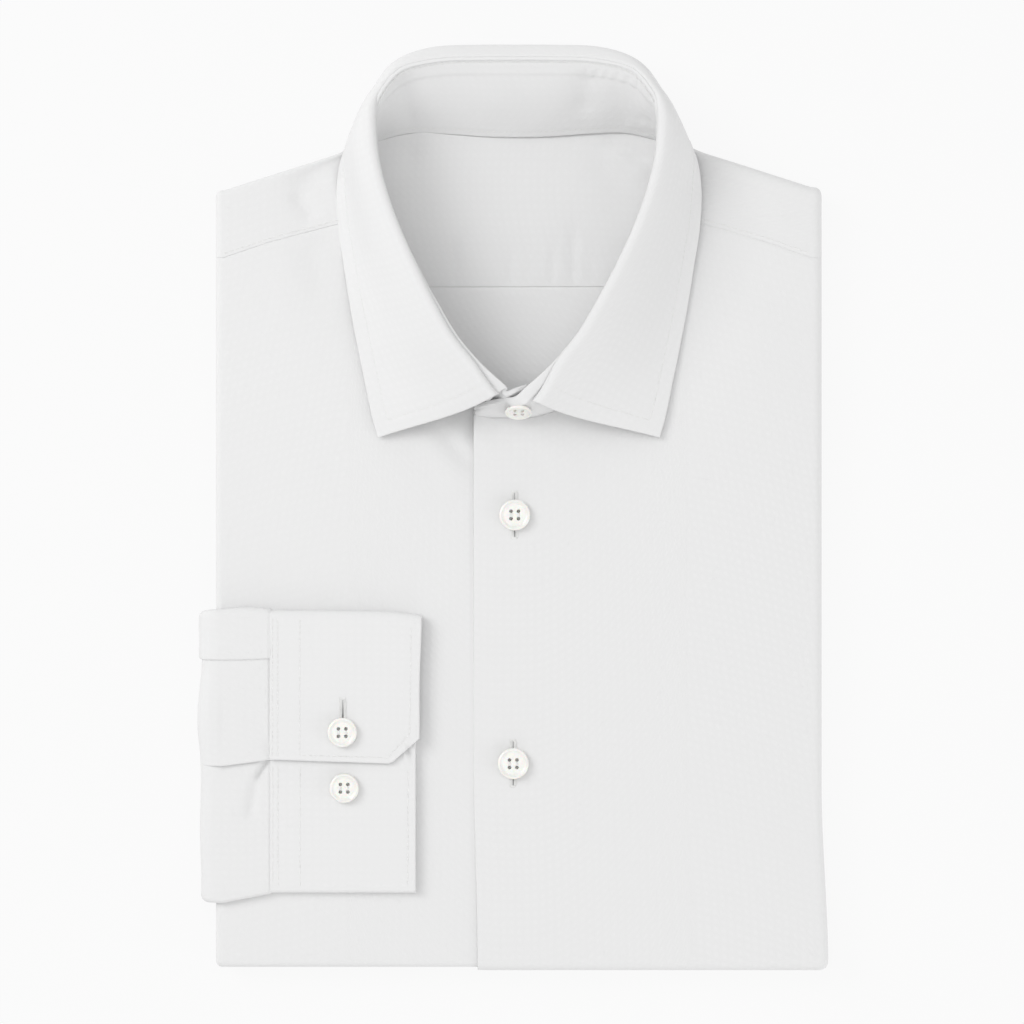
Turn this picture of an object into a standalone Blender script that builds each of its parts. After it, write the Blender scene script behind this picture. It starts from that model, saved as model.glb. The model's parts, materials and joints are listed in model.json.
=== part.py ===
"""Folded dress shirt: the cut pieces of cloth and the buttons, folded flat with the collar standing."""
import math
from collections import namedtuple

import bmesh
import bpy

# All sizes are in millimetres; the mesh builder turns them into metres.
MM = 0.001

# Cloth walls and the seam gap between two pieces that are sewn together
GAP = 0.3
PANEL_WALL = 1.0
CUFF_WALL = 1.5
SLEEVE_WALL = 1.2
STAND_WALL = 1.5
LEAF_WALL = 1.2
PLY = PANEL_WALL + GAP

# The folded packet: its outline at the level of the uppermost front
CENTRE_X = 1.4
LEFT_X = -120.7
RIGHT_X = 123.3
RIGHT_FLARE = 2.7
FLARE_START_Y = -110.0
BOTTOM_Y = -185.2
TOP_Z = 16.0
GROOVE_Z = 7.0
UNDER_FOLD_RADIUS = 3.5
UNDER_FOLD_Z = 3.8
HEM_TURN_LEVEL = 1.3
CORNER_POWER = 3.5

# Angles that the edges of the packet turn through, in degrees past the outermost line
GROOVE_TURN = 75.0
HEM_TURN = 70.0
TAIL_TURN_START = 20.0
TAIL_TURN_END = 180.0

# The packet gets lower behind the neck
NECK_DROP = 5.5
NECK_GROOVE_DROP = 3.0
NECK_DROP_FROM_Y = 116.0
NECK_DROP_TO_Y = 150.0
NECK_DROP_INNER = 62.0
NECK_DROP_OUTER = 100.0

# The tail fold below the groove stands back from the packet by these amounts
TAIL_SET_BACK_LEFT = 6.5
TAIL_SET_BACK_RIGHT = 2.4
TAIL_SET_BACK_TOP = 3.0
TAIL_CLEARANCE = 0.6
HEM_FOOT_SET_BACK = 1.1

# The hidden layers stay inside the pieces that cover them by these amounts
LAYERS_SHORT = 0.5
LAYERS_CORNER = 1.4
LAYERS_CORNER_GROWTH = 2.0
LAYERS_TUCK = 1.1
LAYERS_FLARE_SHARE = 0.85
LAYERS_OUTER_REACH = 95.0
LAYERS_EDGE_STEP = (0.5, 4.0)
LAYERS_YOKE_Y = (90.0, 112.0)

# Front pieces
PLACKET_X = -16.2
PLACKET_SWAY = 1.6
PLACKET_TOP_Y = 38.3
UNDER_EDGE_X = 14.0
UNDER_EDGE_TOP_Y = 39.8
YOKE_SEAM_SIDE_Y = 98.5
YOKE_SLOPE_REACH = 60.0

# Neck hollow
HOLLOW_FLOOR_Z = 7.0
HOLLOW_CUT_ABOVE = 6.0
INNER_TOP_Z = 8.4
BACK_SEAM_Y = 88.6
BACK_SEAM_STATION = 4.0
NECK_CORNER_STATION = 7.6
NECK_MIDDLE_Y = 105.0
FLOOR_CLEARANCE = 1.2
FLOOR_RISE_SIDE = 2.6
FLOOR_RISE_BACK = 0.9
FLOOR_RISE_POWER = 5
FLOOR_STEPS = 12
YOKE_STEPS = 6
BACK_STEPS = 5

FoldPoint = namedtuple("FoldPoint", "reach y")
SHOULDER_FOLD = [
    FoldPoint(0.0, 157.0),
    FoldPoint(30.0, 156.4),
    FoldPoint(48.0, 154.6),
    FoldPoint(60.0, 150.6),
    FoldPoint(71.0, 143.6),
    FoldPoint(122.0, 127.2),
]

SeamPoint = namedtuple("SeamPoint", "x y")
LEFT_YOKE_SEAM = [
    SeamPoint(-66.6, 114.6),
    SeamPoint(-80.4, 110.8),
    SeamPoint(-98.0, 105.9),
]
RIGHT_YOKE_SEAM = [
    SeamPoint(69.4, 115.2),
    SeamPoint(84.0, 111.6),
    SeamPoint(102.0, 106.1),
]

# Half of the collar from its front end to the centre of the back.
# t: top edge of the stand, n: neck seam, e: outer edge of the leaf; x is counted from the collar's middle.
Station = namedtuple("Station", "tx ty tz nx ny ex ey ez")
HALF_COLLAR = [
    Station(6.5, 48.3, 32.0, 15.5, 40.3, 56.3, 28.0, 18.6),
    Station(14.5, 56.0, 35.0, 28.0, 48.5, 59.0, 37.8, 18.3),
    Station(23.5, 67.3, 37.0, 40.5, 60.5, 61.3, 49.0, 18.0),
    Station(32.3, 81.0, 38.3, 52.3, 73.5, 64.5, 64.5, 17.9),
    Station(40.0, 96.5, 38.5, 61.0, 89.0, 67.5, 80.5, 17.9),
    Station(46.5, 111.5, 38.0, 66.5, 105.0, 70.0, 96.5, 17.9),
    Station(51.3, 125.5, 37.5, 68.5, 120.5, 72.3, 111.5, 17.9),
    Station(54.5, 138.5, 37.0, 66.5, 133.5, 73.0, 126.5, 17.7),
    Station(55.5, 150.5, 36.0, 61.5, 142.0, 71.4, 139.2, 15.8),
    Station(55.2, 156.5, 35.3, 57.5, 145.2, 69.2, 147.4, 9.5),
    Station(53.8, 161.5, 34.5, 52.5, 147.3, 64.5, 154.0, 5.5),
    Station(46.5, 171.8, 32.5, 41.8, 149.3, 52.0, 164.0, 3.0),
    Station(30.8, 176.0, 31.0, 27.5, 148.8, 33.0, 169.0, 2.0),
    Station(14.5, 176.8, 30.3, 13.3, 147.8, 14.5, 170.3, 1.6),
    Station(0.0, 177.0, 30.0, 0.0, 147.5, 0.0, 170.5, 1.6),
]
TOP_MIDDLE_X = 1.0
SEAM_MIDDLE_X = 1.5
EDGE_MIDDLE_X = 1.9
LEFT_EDGE_DROP = 1.1
NECK_POINT = 6

# The two front ends of the stand, from the tab's free end inwards
TabPoint = namedtuple("TabPoint", "tx ty tz nx ny")
UNDER_TAB = [
    TabPoint(5.2, 49.3, 27.5, 6.2, 41.2),
    TabPoint(1.8, 48.2, 29.3, 2.6, 40.6),
    TabPoint(-2.5, 47.0, 30.2, -5.0, 39.8),
]
OVER_TAB = [
    TabPoint(-15.8, 40.9, 20.5, -15.8, 38.2),
    TabPoint(-13.6, 41.3, 23.6, -13.6, 37.6),
    TabPoint(-8.6, 41.8, 26.6, -8.6, 37.2),
    TabPoint(-2.6, 43.0, 28.6, -1.6, 37.2),
    TabPoint(3.2, 44.6, 30.0, 8.4, 37.4),
]
STAND_STEPS = 5
STAND_BULGE = 1.6

# The leaf rolls over the stand and falls to its outer edge
ROLL_RADIUS = 2.4
ROLL_LIFT = 0.4
ROLL_STEPS = 4
FALL_STEPS = 6
FALL_HANDLE = 0.36
ROLL_END_FRONT = 62.0
ROLL_END_BACK = 50.0
# At the front ends the roll stands off the stand and the leaf's front edge runs straight
ROLL_STEP_OUT = 3.1
ROLL_STEP_LIFT = 1.2
ROLL_STEP_STATIONS = (0.2, 4.6)
STRAIGHT_STATIONS = 3.5
RIGHT_ROLL_REACH = (-2.2, -3.6, -1.0)
LANDING_FRONT = -14.0
LANDING_BACK = -112.0
BACK_FROM_Y = 134.0
BACK_TO_Y = 166.0

# Cuff, measured on the packet; heights count from the cloth it lies on
CUFF_SEAM_X = -97.4
CUFF_EDGE_X = -37.6
CUFF_LOWER_EDGE_X = -39.2
CUFF_TOP_Y = -40.8
CUFF_TOP_SLOPE = -2.0
CUFF_BOTTOM_Y = -153.7
CUFF_OVERLAP_Y = -100.4
CUFF_OVERLAP_SLOPE = -2.0
CUFF_CHAMFER_X = -49.2
CUFF_CHAMFER = 10.5
CUFF_UNDERLAP_Y = -86.0
CUFF_STOPS = (-84.0, -66.0, CUFF_CHAMFER_X, -44.0, -39.4)
OVER_HEIGHT = 5.4
UNDER_HEIGHT = 3.5

# Sleeve, from the cuff seam round the packet's left side
SLEEVE_TOP_Y = -40.6
SLEEVE_BOTTOM_Y = -154.2
SLEEVE_BOTTOM_SPREAD = -3.6
SLIT_Y = -100.6
SLIT_SLOPE = -2.4
SLEEVE_UNDERLAP_Y = -88.0
PLEAT_Y = -60.8
PLEAT_STEP = 0.28
PLEAT_HALF = 0.8
SLEEVE_UNDER_EXTRA = 0.2
BEND_EXTRA = 0.8
END_LESS = 1.3
BEND_STEPS = 8
BEND_END = 150.0

# Buttons
BUTTON_RIM = 1.3
BUTTON_SLOPE = 0.9
BUTTON_DISH = 0.7
BUTTON_CROWN = 0.15
BUTTON_BEVEL = 0.8
BUTTON_FOOT = 1.6
BUTTON_HOLE_RADIUS = 0.65
BUTTON_HOLE_REACH = 1.45
BUTTON_HOLE_START = 48.0
BUTTON_SIDES = 24
HOLE_SIDES = 8
CUFF_BASE_Z = TOP_Z - PLY + GAP
ButtonPlace = namedtuple("ButtonPlace", "name radius thick x y z tilt")
BUTTONS = [
    ButtonPlace("button_front_1", 6.2, 2.4, 0.3, -2.8, TOP_Z + GAP, 0.0),
    ButtonPlace("button_front_2", 6.2, 2.4, -0.3, -102.1, TOP_Z + GAP, 0.0),
    ButtonPlace("cuff_button_1", 5.85, 2.4, -68.4, -89.4, CUFF_BASE_Z + OVER_HEIGHT + GAP, 0.0),
    ButtonPlace("cuff_button_2", 5.85, 2.4, -67.7, -111.7, CUFF_BASE_Z + UNDER_HEIGHT + GAP, 0.0),
    ButtonPlace("button_collar", 5.4, 1.9, 1.8, 38.7, 25.3, 63.0),
]

WHITE_CLOTH = (0.86, 0.87, 0.88, 1.0)
CLOTH_ROUGHNESS = 0.85
PEARL = (0.82, 0.80, 0.74, 1.0)
PEARL_ROUGHNESS = 0.3


def blend(low, high, value):
    """Smooth step from 0 at low to 1 at high."""
    t = (value - low) / (high - low)
    t = max(0.0, min(1.0, t))
    return t * t * (3.0 - 2.0 * t)


def mix(first, second, t):
    return first + (second - first) * t


def mix_points(first, second, t):
    return tuple(mix(p, q, t) for p, q in zip(first, second))


def interpolate(table, value):
    """Linear reading of a table of (position, result) pairs."""
    for (p0, q0), (p1, q1) in zip(table, table[1:]):
        if value <= p1:
            return mix(q0, q1, (value - p0) / (p1 - p0))
    return table[-1][1]


def neck_share(x, y):
    """1 right behind the neck, 0 on the shoulders and the fronts."""
    sideways = 1.0 - blend(NECK_DROP_INNER, NECK_DROP_OUTER, abs(x - CENTRE_X))
    return sideways * blend(NECK_DROP_FROM_Y, NECK_DROP_TO_Y, y)


def groove(x, y):
    return GROOVE_Z - NECK_GROOVE_DROP * neck_share(x, y)


def edge_radius(x, y):
    top = TOP_Z - NECK_DROP * neck_share(x, y)
    return (top - groove(x, y)) / 2.0


def fold_y(x):
    """The shoulder fold, inset to where the packet's edge starts to round off."""
    reach = abs(x - CENTRE_X)
    outer = interpolate(SHOULDER_FOLD, reach)
    return outer - edge_radius(x, outer)


def flare(y):
    return RIGHT_FLARE * blend(FLARE_START_Y, BOTTOM_Y, y)


FLAT_LEFT_X = LEFT_X + (TOP_Z - GROOVE_Z) / 2.0
FLAT_RIGHT_X = RIGHT_X - (TOP_Z - GROOVE_Z) / 2.0
FLAT_BOTTOM_Y = BOTTOM_Y + (TOP_Z - GROOVE_Z) / 2.0


def side_profile(level, radius, middle_z):
    """Half-round side: level 0 is the flat top, 1 the outermost line, 2 the groove."""
    if level <= 1.0:
        angle = math.radians(90.0 * level)
    else:
        angle = math.radians(90.0 + GROOVE_TURN * (level - 1.0))
    return radius * math.sin(angle), middle_z + radius * math.cos(angle)


def hem_profile(level, radius, middle_z, depth):
    """Bottom fold: rounds off, goes straight down and turns under the packet."""
    if level <= 1.0:
        return side_profile(level, radius, middle_z)
    turn_radius = UNDER_FOLD_RADIUS - depth
    if level <= HEM_TURN_LEVEL:
        return radius, mix(middle_z, UNDER_FOLD_Z, (level - 1.0) / (HEM_TURN_LEVEL - 1.0))
    angle = math.radians(HEM_TURN) * (level - HEM_TURN_LEVEL) / (2.0 - HEM_TURN_LEVEL)
    return radius - turn_radius + turn_radius * math.cos(angle), UNDER_FOLD_Z - turn_radius * math.sin(angle)


def tail_profile(level, radius, set_back, top):
    """The tail fold of the hidden layers, from the groove (2) to the flat underside (3)."""
    half = (top - TAIL_CLEARANCE) / 2.0
    angle = math.radians(mix(TAIL_TURN_START, TAIL_TURN_END, level - 2.0))
    reach = radius - half - set_back + half * math.sin(angle)
    return reach, half + half * math.cos(angle)


def packet(x, y, side, end, depth, layers=False):
    """Point of a ply lying depth under the uppermost one.

    x, y is the place on the flat top; side and end count how far the point has gone over the
    left or right side (- or +) and over the bottom or shoulder end (- or +).
    """
    full = edge_radius(x, y)
    radius = full - depth
    middle_z = groove(x, y) + full
    level = max(abs(side), abs(end))
    if level == 0.0:
        return x, y, middle_z + radius
    side_power = abs(side) ** CORNER_POWER
    end_power = abs(end) ** CORNER_POWER
    norm = (side_power + end_power) ** (1.0 / CORNER_POWER)
    hem_share = end_power / (side_power + end_power) if end < 0.0 else 0.0
    top_share = end_power / (side_power + end_power) if end > 0.0 else 0.0
    if layers and level > 2.0:
        set_back = TAIL_SET_BACK_LEFT if side < 0.0 else TAIL_SET_BACK_RIGHT
        set_back = mix(set_back, TAIL_SET_BACK_TOP, top_share)
        rounded = tail_profile(level, full, set_back, groove(x, y))
        last = hem_profile(2.0, radius, middle_z, depth)
        foot = (full - UNDER_FOLD_RADIUS - HEM_FOOT_SET_BACK, 0.0)
        straight = mix_points(last, foot, level - 2.0)
    else:
        rounded = side_profile(level, radius, middle_z)
        straight = hem_profile(level, radius, middle_z, depth)
    reach, z = mix_points(rounded, straight, hem_share)
    if layers:
        corner_share = end_power / (side_power + end_power)
        corner = 4.0 * corner_share * (1.0 - corner_share)
        reach -= LAYERS_CORNER * corner * (1.0 + LAYERS_CORNER_GROWTH * blend(0.7, 1.3, level))
        reach -= LAYERS_TUCK * blend(0.9, 1.5, level)
    return x + reach * side / norm, y + reach * end / norm, z


def finish_material(name, colour, rough):
    material = bpy.data.materials.new(name + "_material")
    material.use_nodes = True
    shader = material.node_tree.nodes["Principled BSDF"]
    shader.inputs["Base Color"].default_value = colour
    shader.inputs["Roughness"].default_value = rough
    shader.inputs["Metallic"].default_value = 0.0
    material.diffuse_color = colour
    return material


def new_object(name, vertices, faces, at):
    """Closed or open cloth mesh from millimetre points, with its own origin and material."""
    mesh = bpy.data.meshes.new(name)
    local = [tuple((p - q) * MM for p, q in zip(vertex, at)) for vertex in vertices]
    mesh.from_pydata(local, [], faces)
    mesh.validate()
    part = bpy.data.objects.new(name, mesh)
    part.location = [value * MM for value in at]
    shirt.objects.link(part)
    for polygon in mesh.polygons:
        polygon.use_smooth = True
    mesh.materials.append(finish_material(name, WHITE_CLOTH, CLOTH_ROUGHNESS))
    return part


def grid_faces(rows, columns, flip):
    faces = []
    for i in range(rows - 1):
        for j in range(columns - 1):
            corner = i * columns + j
            face = (corner, corner + 1, corner + columns + 1, corner + columns)
            faces.append(face[::-1] if flip else face)
    return faces


def cloth(name, rows, wall, at, flip=False, outwards=False):
    """A cut piece: rows of points on its face, given a wall on the hidden side."""
    vertices = [point for row in rows for point in row]
    faces = grid_faces(len(rows), len(rows[0]), flip)
    part = new_object(name, vertices, faces, at)
    solid = part.modifiers.new("wall", "SOLIDIFY")
    solid.thickness = wall * MM
    solid.offset = 1.0 if outwards else -1.0
    solid.use_even_offset = True
    solid.use_rim = True
    return part


# Collar stations all the way round, from the front end on the left to the one on the right
def collar_stations():
    left = []
    right = []
    for half in HALF_COLLAR:
        drop = LEFT_EDGE_DROP * (1.0 - blend(BACK_FROM_Y, BACK_TO_Y, half.ty))
        left.append({
            "top": (TOP_MIDDLE_X - half.tx, half.ty, half.tz),
            "seam": (SEAM_MIDDLE_X - half.nx, half.ny),
            "edge": (EDGE_MIDDLE_X - half.ex, half.ey, half.ez - drop),
        })
        right.append({
            "top": (TOP_MIDDLE_X + half.tx, half.ty, half.tz),
            "seam": (SEAM_MIDDLE_X + half.nx, half.ny),
            "edge": (EDGE_MIDDLE_X + half.ex, half.ey, half.ez),
        })
    return left + right[-2::-1]


STATIONS = collar_stations()
SEAM = [station["seam"] for station in STATIONS]


def yoke_depth(x):
    """The yoke is level with the lower front on the left and the upper front on the right."""
    return PLY * (1.0 - blend(-YOKE_SLOPE_REACH, YOKE_SLOPE_REACH, x))


def layer_depth(x, y):
    """How far the hidden layers lie under the level of the uppermost front."""
    near, far = LAYERS_EDGE_STEP
    front = PLY + PLY * (1.0 - blend(UNDER_EDGE_X + near, UNDER_EDGE_X + far, x))
    back = PLY + yoke_depth(x) + GAP
    return mix(front, back, blend(*LAYERS_YOKE_Y, y))


# Hidden folded layers: one rounded solid with a groove between the body and the tail fold
def make_folded_layers():
    rims = (0.5, 1.0, 1.3, 1.65, 2.0, 2.2, 2.45, 2.7, 3.0)
    reaches = [point.reach for point in SHOULDER_FOLD[1:-1]]
    flat_x = [CENTRE_X - reach for reach in (LAYERS_OUTER_REACH, *reversed(reaches))]
    flat_x += [CENTRE_X] + [UNDER_EDGE_X + step for step in LAYERS_EDGE_STEP]
    flat_x += [CENTRE_X + reach for reach in (*reaches, LAYERS_OUTER_REACH)]
    flat_v = (0.0, 0.07, 0.14, 0.22, 0.5, 0.83, 0.9, 0.95, 1.0)
    columns = [(FLAT_LEFT_X, -rim) for rim in reversed(rims)] + [(FLAT_LEFT_X, 0.0)]
    columns += [(x, 0.0) for x in flat_x]
    columns += [(FLAT_RIGHT_X, 0.0)] + [(FLAT_RIGHT_X, rim) for rim in rims]
    lines = [(0.0, -rim) for rim in reversed(rims)] + [(v, 0.0) for v in flat_v]
    lines += [(1.0, rim) for rim in rims]
    rows = []
    for v, end in lines:
        row = []
        for x, side in columns:
            y = mix(FLAT_BOTTOM_Y, fold_y(x) - LAYERS_SHORT, v)
            share = (x - CENTRE_X) / (FLAT_RIGHT_X - CENTRE_X)
            px = x + LAYERS_FLARE_SHARE * flare(y) * max(0.0, share)
            row.append(packet(px, y, side, end, layer_depth(x, y), layers=True))
        rows.append(row)
    count = len(columns)
    vertices = [point for row in rows for point in row]
    faces = grid_faces(len(rows), count, flip=False)
    last = (len(rows) - 1) * count
    rim = list(range(count)) + [i * count + count - 1 for i in range(1, len(rows))]
    rim += [last + j for j in range(count - 2, -1, -1)]
    rim += [i * count for i in range(len(rows) - 2, 0, -1)]
    faces.append(tuple(reversed(rim)))
    at = (CENTRE_X, -20.0, 0.0)
    part = new_object("folded_layers", vertices, faces, at)
    low = [(x - at[0], y - at[1], HOLLOW_FLOOR_Z) for x, y in SEAM]
    high = [(x, y, TOP_Z + HOLLOW_CUT_ABOVE) for x, y, z in low]
    number = len(SEAM)
    walls = [(i, (i + 1) % number, number + (i + 1) % number, number + i) for i in range(number)]
    caps = [tuple(range(number, 2 * number)), tuple(reversed(range(number)))]
    mesh = bpy.data.meshes.new("neck_cutter")
    mesh.from_pydata([tuple(value * MM for value in point) for point in low + high], [], walls + caps)
    shape = bmesh.new()
    shape.from_mesh(mesh)
    bmesh.ops.recalc_face_normals(shape, faces=shape.faces)
    shape.to_mesh(mesh)
    shape.free()
    cutter = bpy.data.objects.new("neck_cutter", mesh)
    cutter.location = part.location
    cutter.hide_render = True
    cutter.display_type = "WIRE"
    cutters.objects.link(cutter)
    cut = part.modifiers.new("neck_hollow", "BOOLEAN")
    cut.operation = "DIFFERENCE"
    cut.solver = "EXACT"
    cut.object = cutter


# Fronts: rows run from the neckline and yoke seam down to the bottom fold
RIM_LEVELS = (0.35, 0.7, 1.0, 1.3, 1.65, 2.0)
FRONT_LINES = (0.0, 0.06, 0.14, 0.24, 0.36, 0.5, 0.64, 0.78, 0.9, 1.0)


def make_front(name, top_points, side_sign, depth, edge_low_x, at, flip):
    """A front piece: columns hang from its neckline and yoke seam down to the bottom fold."""
    flat_x = FLAT_RIGHT_X if side_sign > 0 else FLAT_LEFT_X
    first_x = top_points[0][0]
    last = len(top_points)
    columns = []
    for i, (x, y) in enumerate(top_points + [(flat_x, YOKE_SEAM_SIDE_Y - GAP)]):
        share = 0.5 * (x - first_x) / (flat_x - first_x) + 0.5 * i / last
        columns.append((x, y, mix(edge_low_x, flat_x, share), share, 0.0))
    for level in RIM_LEVELS:
        columns.append((flat_x, YOKE_SEAM_SIDE_Y - GAP, flat_x, 1.0, side_sign * level))
    rows = []
    for v, end in [(v, 0.0) for v in FRONT_LINES] + [(1.0, -level) for level in RIM_LEVELS]:
        row = []
        for top_x, top_y, low_x, share, side in columns:
            y = mix(top_y, FLAT_BOTTOM_Y, v)
            x = mix(top_x, low_x, v)
            if side_sign > 0:
                x += flare(y) * share
            row.append(packet(x, y, side, end, depth))
        rows.append(row)
    cloth(name, rows, PANEL_WALL, at, flip=flip)


def make_fronts():
    over = [(PLACKET_X, PLACKET_TOP_Y)] + [(tab.nx, tab.ny) for tab in OVER_TAB]
    over += [STATIONS[-1 - i]["seam"] for i in range(NECK_POINT)]
    over += [(x, y - GAP) for x, y in RIGHT_YOKE_SEAM]
    make_front("left_front", over, 1, 0.0, PLACKET_X + PLACKET_SWAY, (50.0, -30.0, TOP_Z), True)
    under = [(UNDER_EDGE_X, UNDER_EDGE_TOP_Y)] + [(tab.nx, tab.ny) for tab in UNDER_TAB]
    under += [STATIONS[i]["seam"] for i in range(NECK_POINT)]
    under += [(x, y - GAP) for x, y in LEFT_YOKE_SEAM]
    make_front("right_front", under, -1, PLY, UNDER_EDGE_X, (-50.0, -30.0, TOP_Z - PLY), False)


# Outer yoke: shoulder strips that roll over the shoulder fold, joined behind the neck
YOKE_FOLD_REACHES = (102.0, 87.0, 77.0, 71.0, 66.0, 60.0, 54.0, 48.0, 39.0, 30.0, 15.0, 0.0)


def make_yoke_outer():
    last = len(STATIONS) - 1
    inner = list(reversed(LEFT_YOKE_SEAM)) + SEAM[NECK_POINT:last - NECK_POINT + 1] + RIGHT_YOKE_SEAM
    side_y = YOKE_SEAM_SIDE_Y
    fold_x = [CENTRE_X - reach for reach in YOKE_FOLD_REACHES]
    fold_x += [CENTRE_X + reach for reach in YOKE_FOLD_REACHES[-2::-1]]
    columns = [(FLAT_LEFT_X, side_y, FLAT_LEFT_X, -level) for level in reversed(RIM_LEVELS)]
    columns.append((FLAT_LEFT_X, side_y, FLAT_LEFT_X, 0.0))
    for (x, y), fold in zip(inner, fold_x):
        columns.append((x, y, fold, 0.0))
    columns.append((FLAT_RIGHT_X, side_y, FLAT_RIGHT_X, 0.0))
    columns += [(FLAT_RIGHT_X, side_y, FLAT_RIGHT_X, level) for level in RIM_LEVELS]
    rows = []
    for v, end in [(0.0, 0.0), (0.33, 0.0), (0.66, 0.0), (1.0, 0.0)] + [(1.0, r) for r in RIM_LEVELS]:
        row = []
        for x0, y0, x1, side in columns:
            x = mix(x0, x1, v)
            y = mix(y0, fold_y(x1), v)
            row.append(packet(x, y, side, end, yoke_depth(x)))
        rows.append(row)
    cloth("yoke_outer", rows, PANEL_WALL, (CENTRE_X, 125.0, TOP_Z), flip=False)


def coons(low, high, left, right, s, v):
    """Plan point inside four border curves that are given as functions of 0 to 1."""
    across = mix_points(low(s), high(s), v)
    along = mix_points(left(v), right(v), s)
    corners = mix_points(mix_points(low(0.0), low(1.0), s), mix_points(high(0.0), high(1.0), s), v)
    return tuple(p + q - r for p, q, r in zip(across, along, corners))


def along_seam(first, last):
    """Neck seam between two station numbers as a function of 0 to 1, held off the hollow's wall."""
    def read(t):
        place = mix(first, last, t)
        i = min(int(place), len(SEAM) - 2)
        x, y = mix_points(SEAM[i], SEAM[i + 1], place - i)
        length = math.hypot(x - CENTRE_X, y - NECK_MIDDLE_Y)
        keep = 1.0 - FLOOR_CLEARANCE / length
        return CENTRE_X + (x - CENTRE_X) * keep, NECK_MIDDLE_Y + (y - NECK_MIDDLE_Y) * keep
    return read


def straight(first, last):
    return lambda t: mix_points(first, last, t)


# Inner yoke and back piece: the floor of the neck hollow
def make_neck_floor():
    last = len(STATIONS) - 1
    left = along_seam(BACK_SEAM_STATION, NECK_CORNER_STATION)
    right = along_seam(last - BACK_SEAM_STATION, last - NECK_CORNER_STATION)
    back = along_seam(NECK_CORNER_STATION, last - NECK_CORNER_STATION)
    low = straight((left(0.0)[0], BACK_SEAM_Y + GAP), (right(0.0)[0], BACK_SEAM_Y + GAP))
    rows = []
    for i in range(YOKE_STEPS + 1):
        v = i / YOKE_STEPS
        row = []
        for j in range(FLOOR_STEPS + 1):
            s = j / FLOOR_STEPS
            x, y = coons(low, back, left, right, s, v)
            side_rise = FLOOR_RISE_SIDE * abs(2.0 * s - 1.0) ** FLOOR_RISE_POWER * v
            back_rise = FLOOR_RISE_BACK * v ** FLOOR_RISE_POWER
            row.append((x, y, INNER_TOP_Z + side_rise + back_rise))
        rows.append(row)
    cloth("yoke_inner", rows, PANEL_WALL, (CENTRE_X, 120.0, INNER_TOP_Z), flip=False)
    left = along_seam(0.0, BACK_SEAM_STATION)
    right = along_seam(last, last - BACK_SEAM_STATION)
    high = straight((left(1.0)[0], BACK_SEAM_Y - GAP), (right(1.0)[0], BACK_SEAM_Y - GAP))
    low = straight(left(0.0), right(0.0))
    rows = []
    for i in range(BACK_STEPS + 1):
        v = i / BACK_STEPS
        row = []
        for j in range(FLOOR_STEPS + 1):
            s = j / FLOOR_STEPS
            x, y = coons(low, high, left, right, s, v)
            row.append((x, min(y, BACK_SEAM_Y - GAP), INNER_TOP_Z))
        rows.append(row)
    cloth("back_panel", rows, PANEL_WALL, (CENTRE_X, 65.0, INNER_TOP_Z), flip=False)


def seam_height(x, y, depth):
    return packet(x, y, 0.0, 0.0, depth)[2] + GAP


def outward(i):
    """Level direction away from the neck at a station, square to the stand's top edge."""
    before = STATIONS[max(i - 1, 0)]["top"]
    after = STATIONS[min(i + 1, len(STATIONS) - 1)]["top"]
    dx = after[0] - before[0]
    dy = after[1] - before[1]
    length = math.hypot(dx, dy)
    return -dy / length, dx / length


# Collar stand: a band on the neck seam, leaning back behind the neck, with two overlapping front tabs
def make_collar_stand():
    ring = []
    for tab in UNDER_TAB:
        low = (tab.nx, tab.ny, seam_height(tab.nx, tab.ny, PLY))
        ring.append((low, (tab.tx, tab.ty, tab.tz)))
    for i, station in enumerate(STATIONS):
        x, y = station["seam"]
        if i < NECK_POINT:
            depth = PLY
        elif i >= len(STATIONS) - NECK_POINT:
            depth = 0.0
        else:
            depth = yoke_depth(x)
        z = seam_height(x, y, depth)
        ox, oy = outward(i)
        tx, ty, tz = station["top"]
        lean = ((tx - x) * ox + (ty - y) * oy) / math.dist((x, y, z), (tx, ty, tz))
        ring.append(((x, y, z + (STAND_WALL + GAP) * max(0.0, lean)), station["top"]))
    for tab in reversed(OVER_TAB):
        low = (tab.nx, tab.ny, seam_height(tab.nx, tab.ny, 0.0))
        ring.append((low, (tab.tx, tab.ty, tab.tz)))
    rows = []
    for low, high in ring:
        row = []
        for i in range(STAND_STEPS + 1):
            t = i / STAND_STEPS
            x, y, z = mix_points(low, high, t)
            row.append((x, y, z + STAND_BULGE * math.sin(math.pi * t)))
        rows.append(row)
    cloth("collar_stand", rows, STAND_WALL, (CENTRE_X, NECK_MIDDLE_Y, TOP_Z), flip=False, outwards=True)


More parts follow.
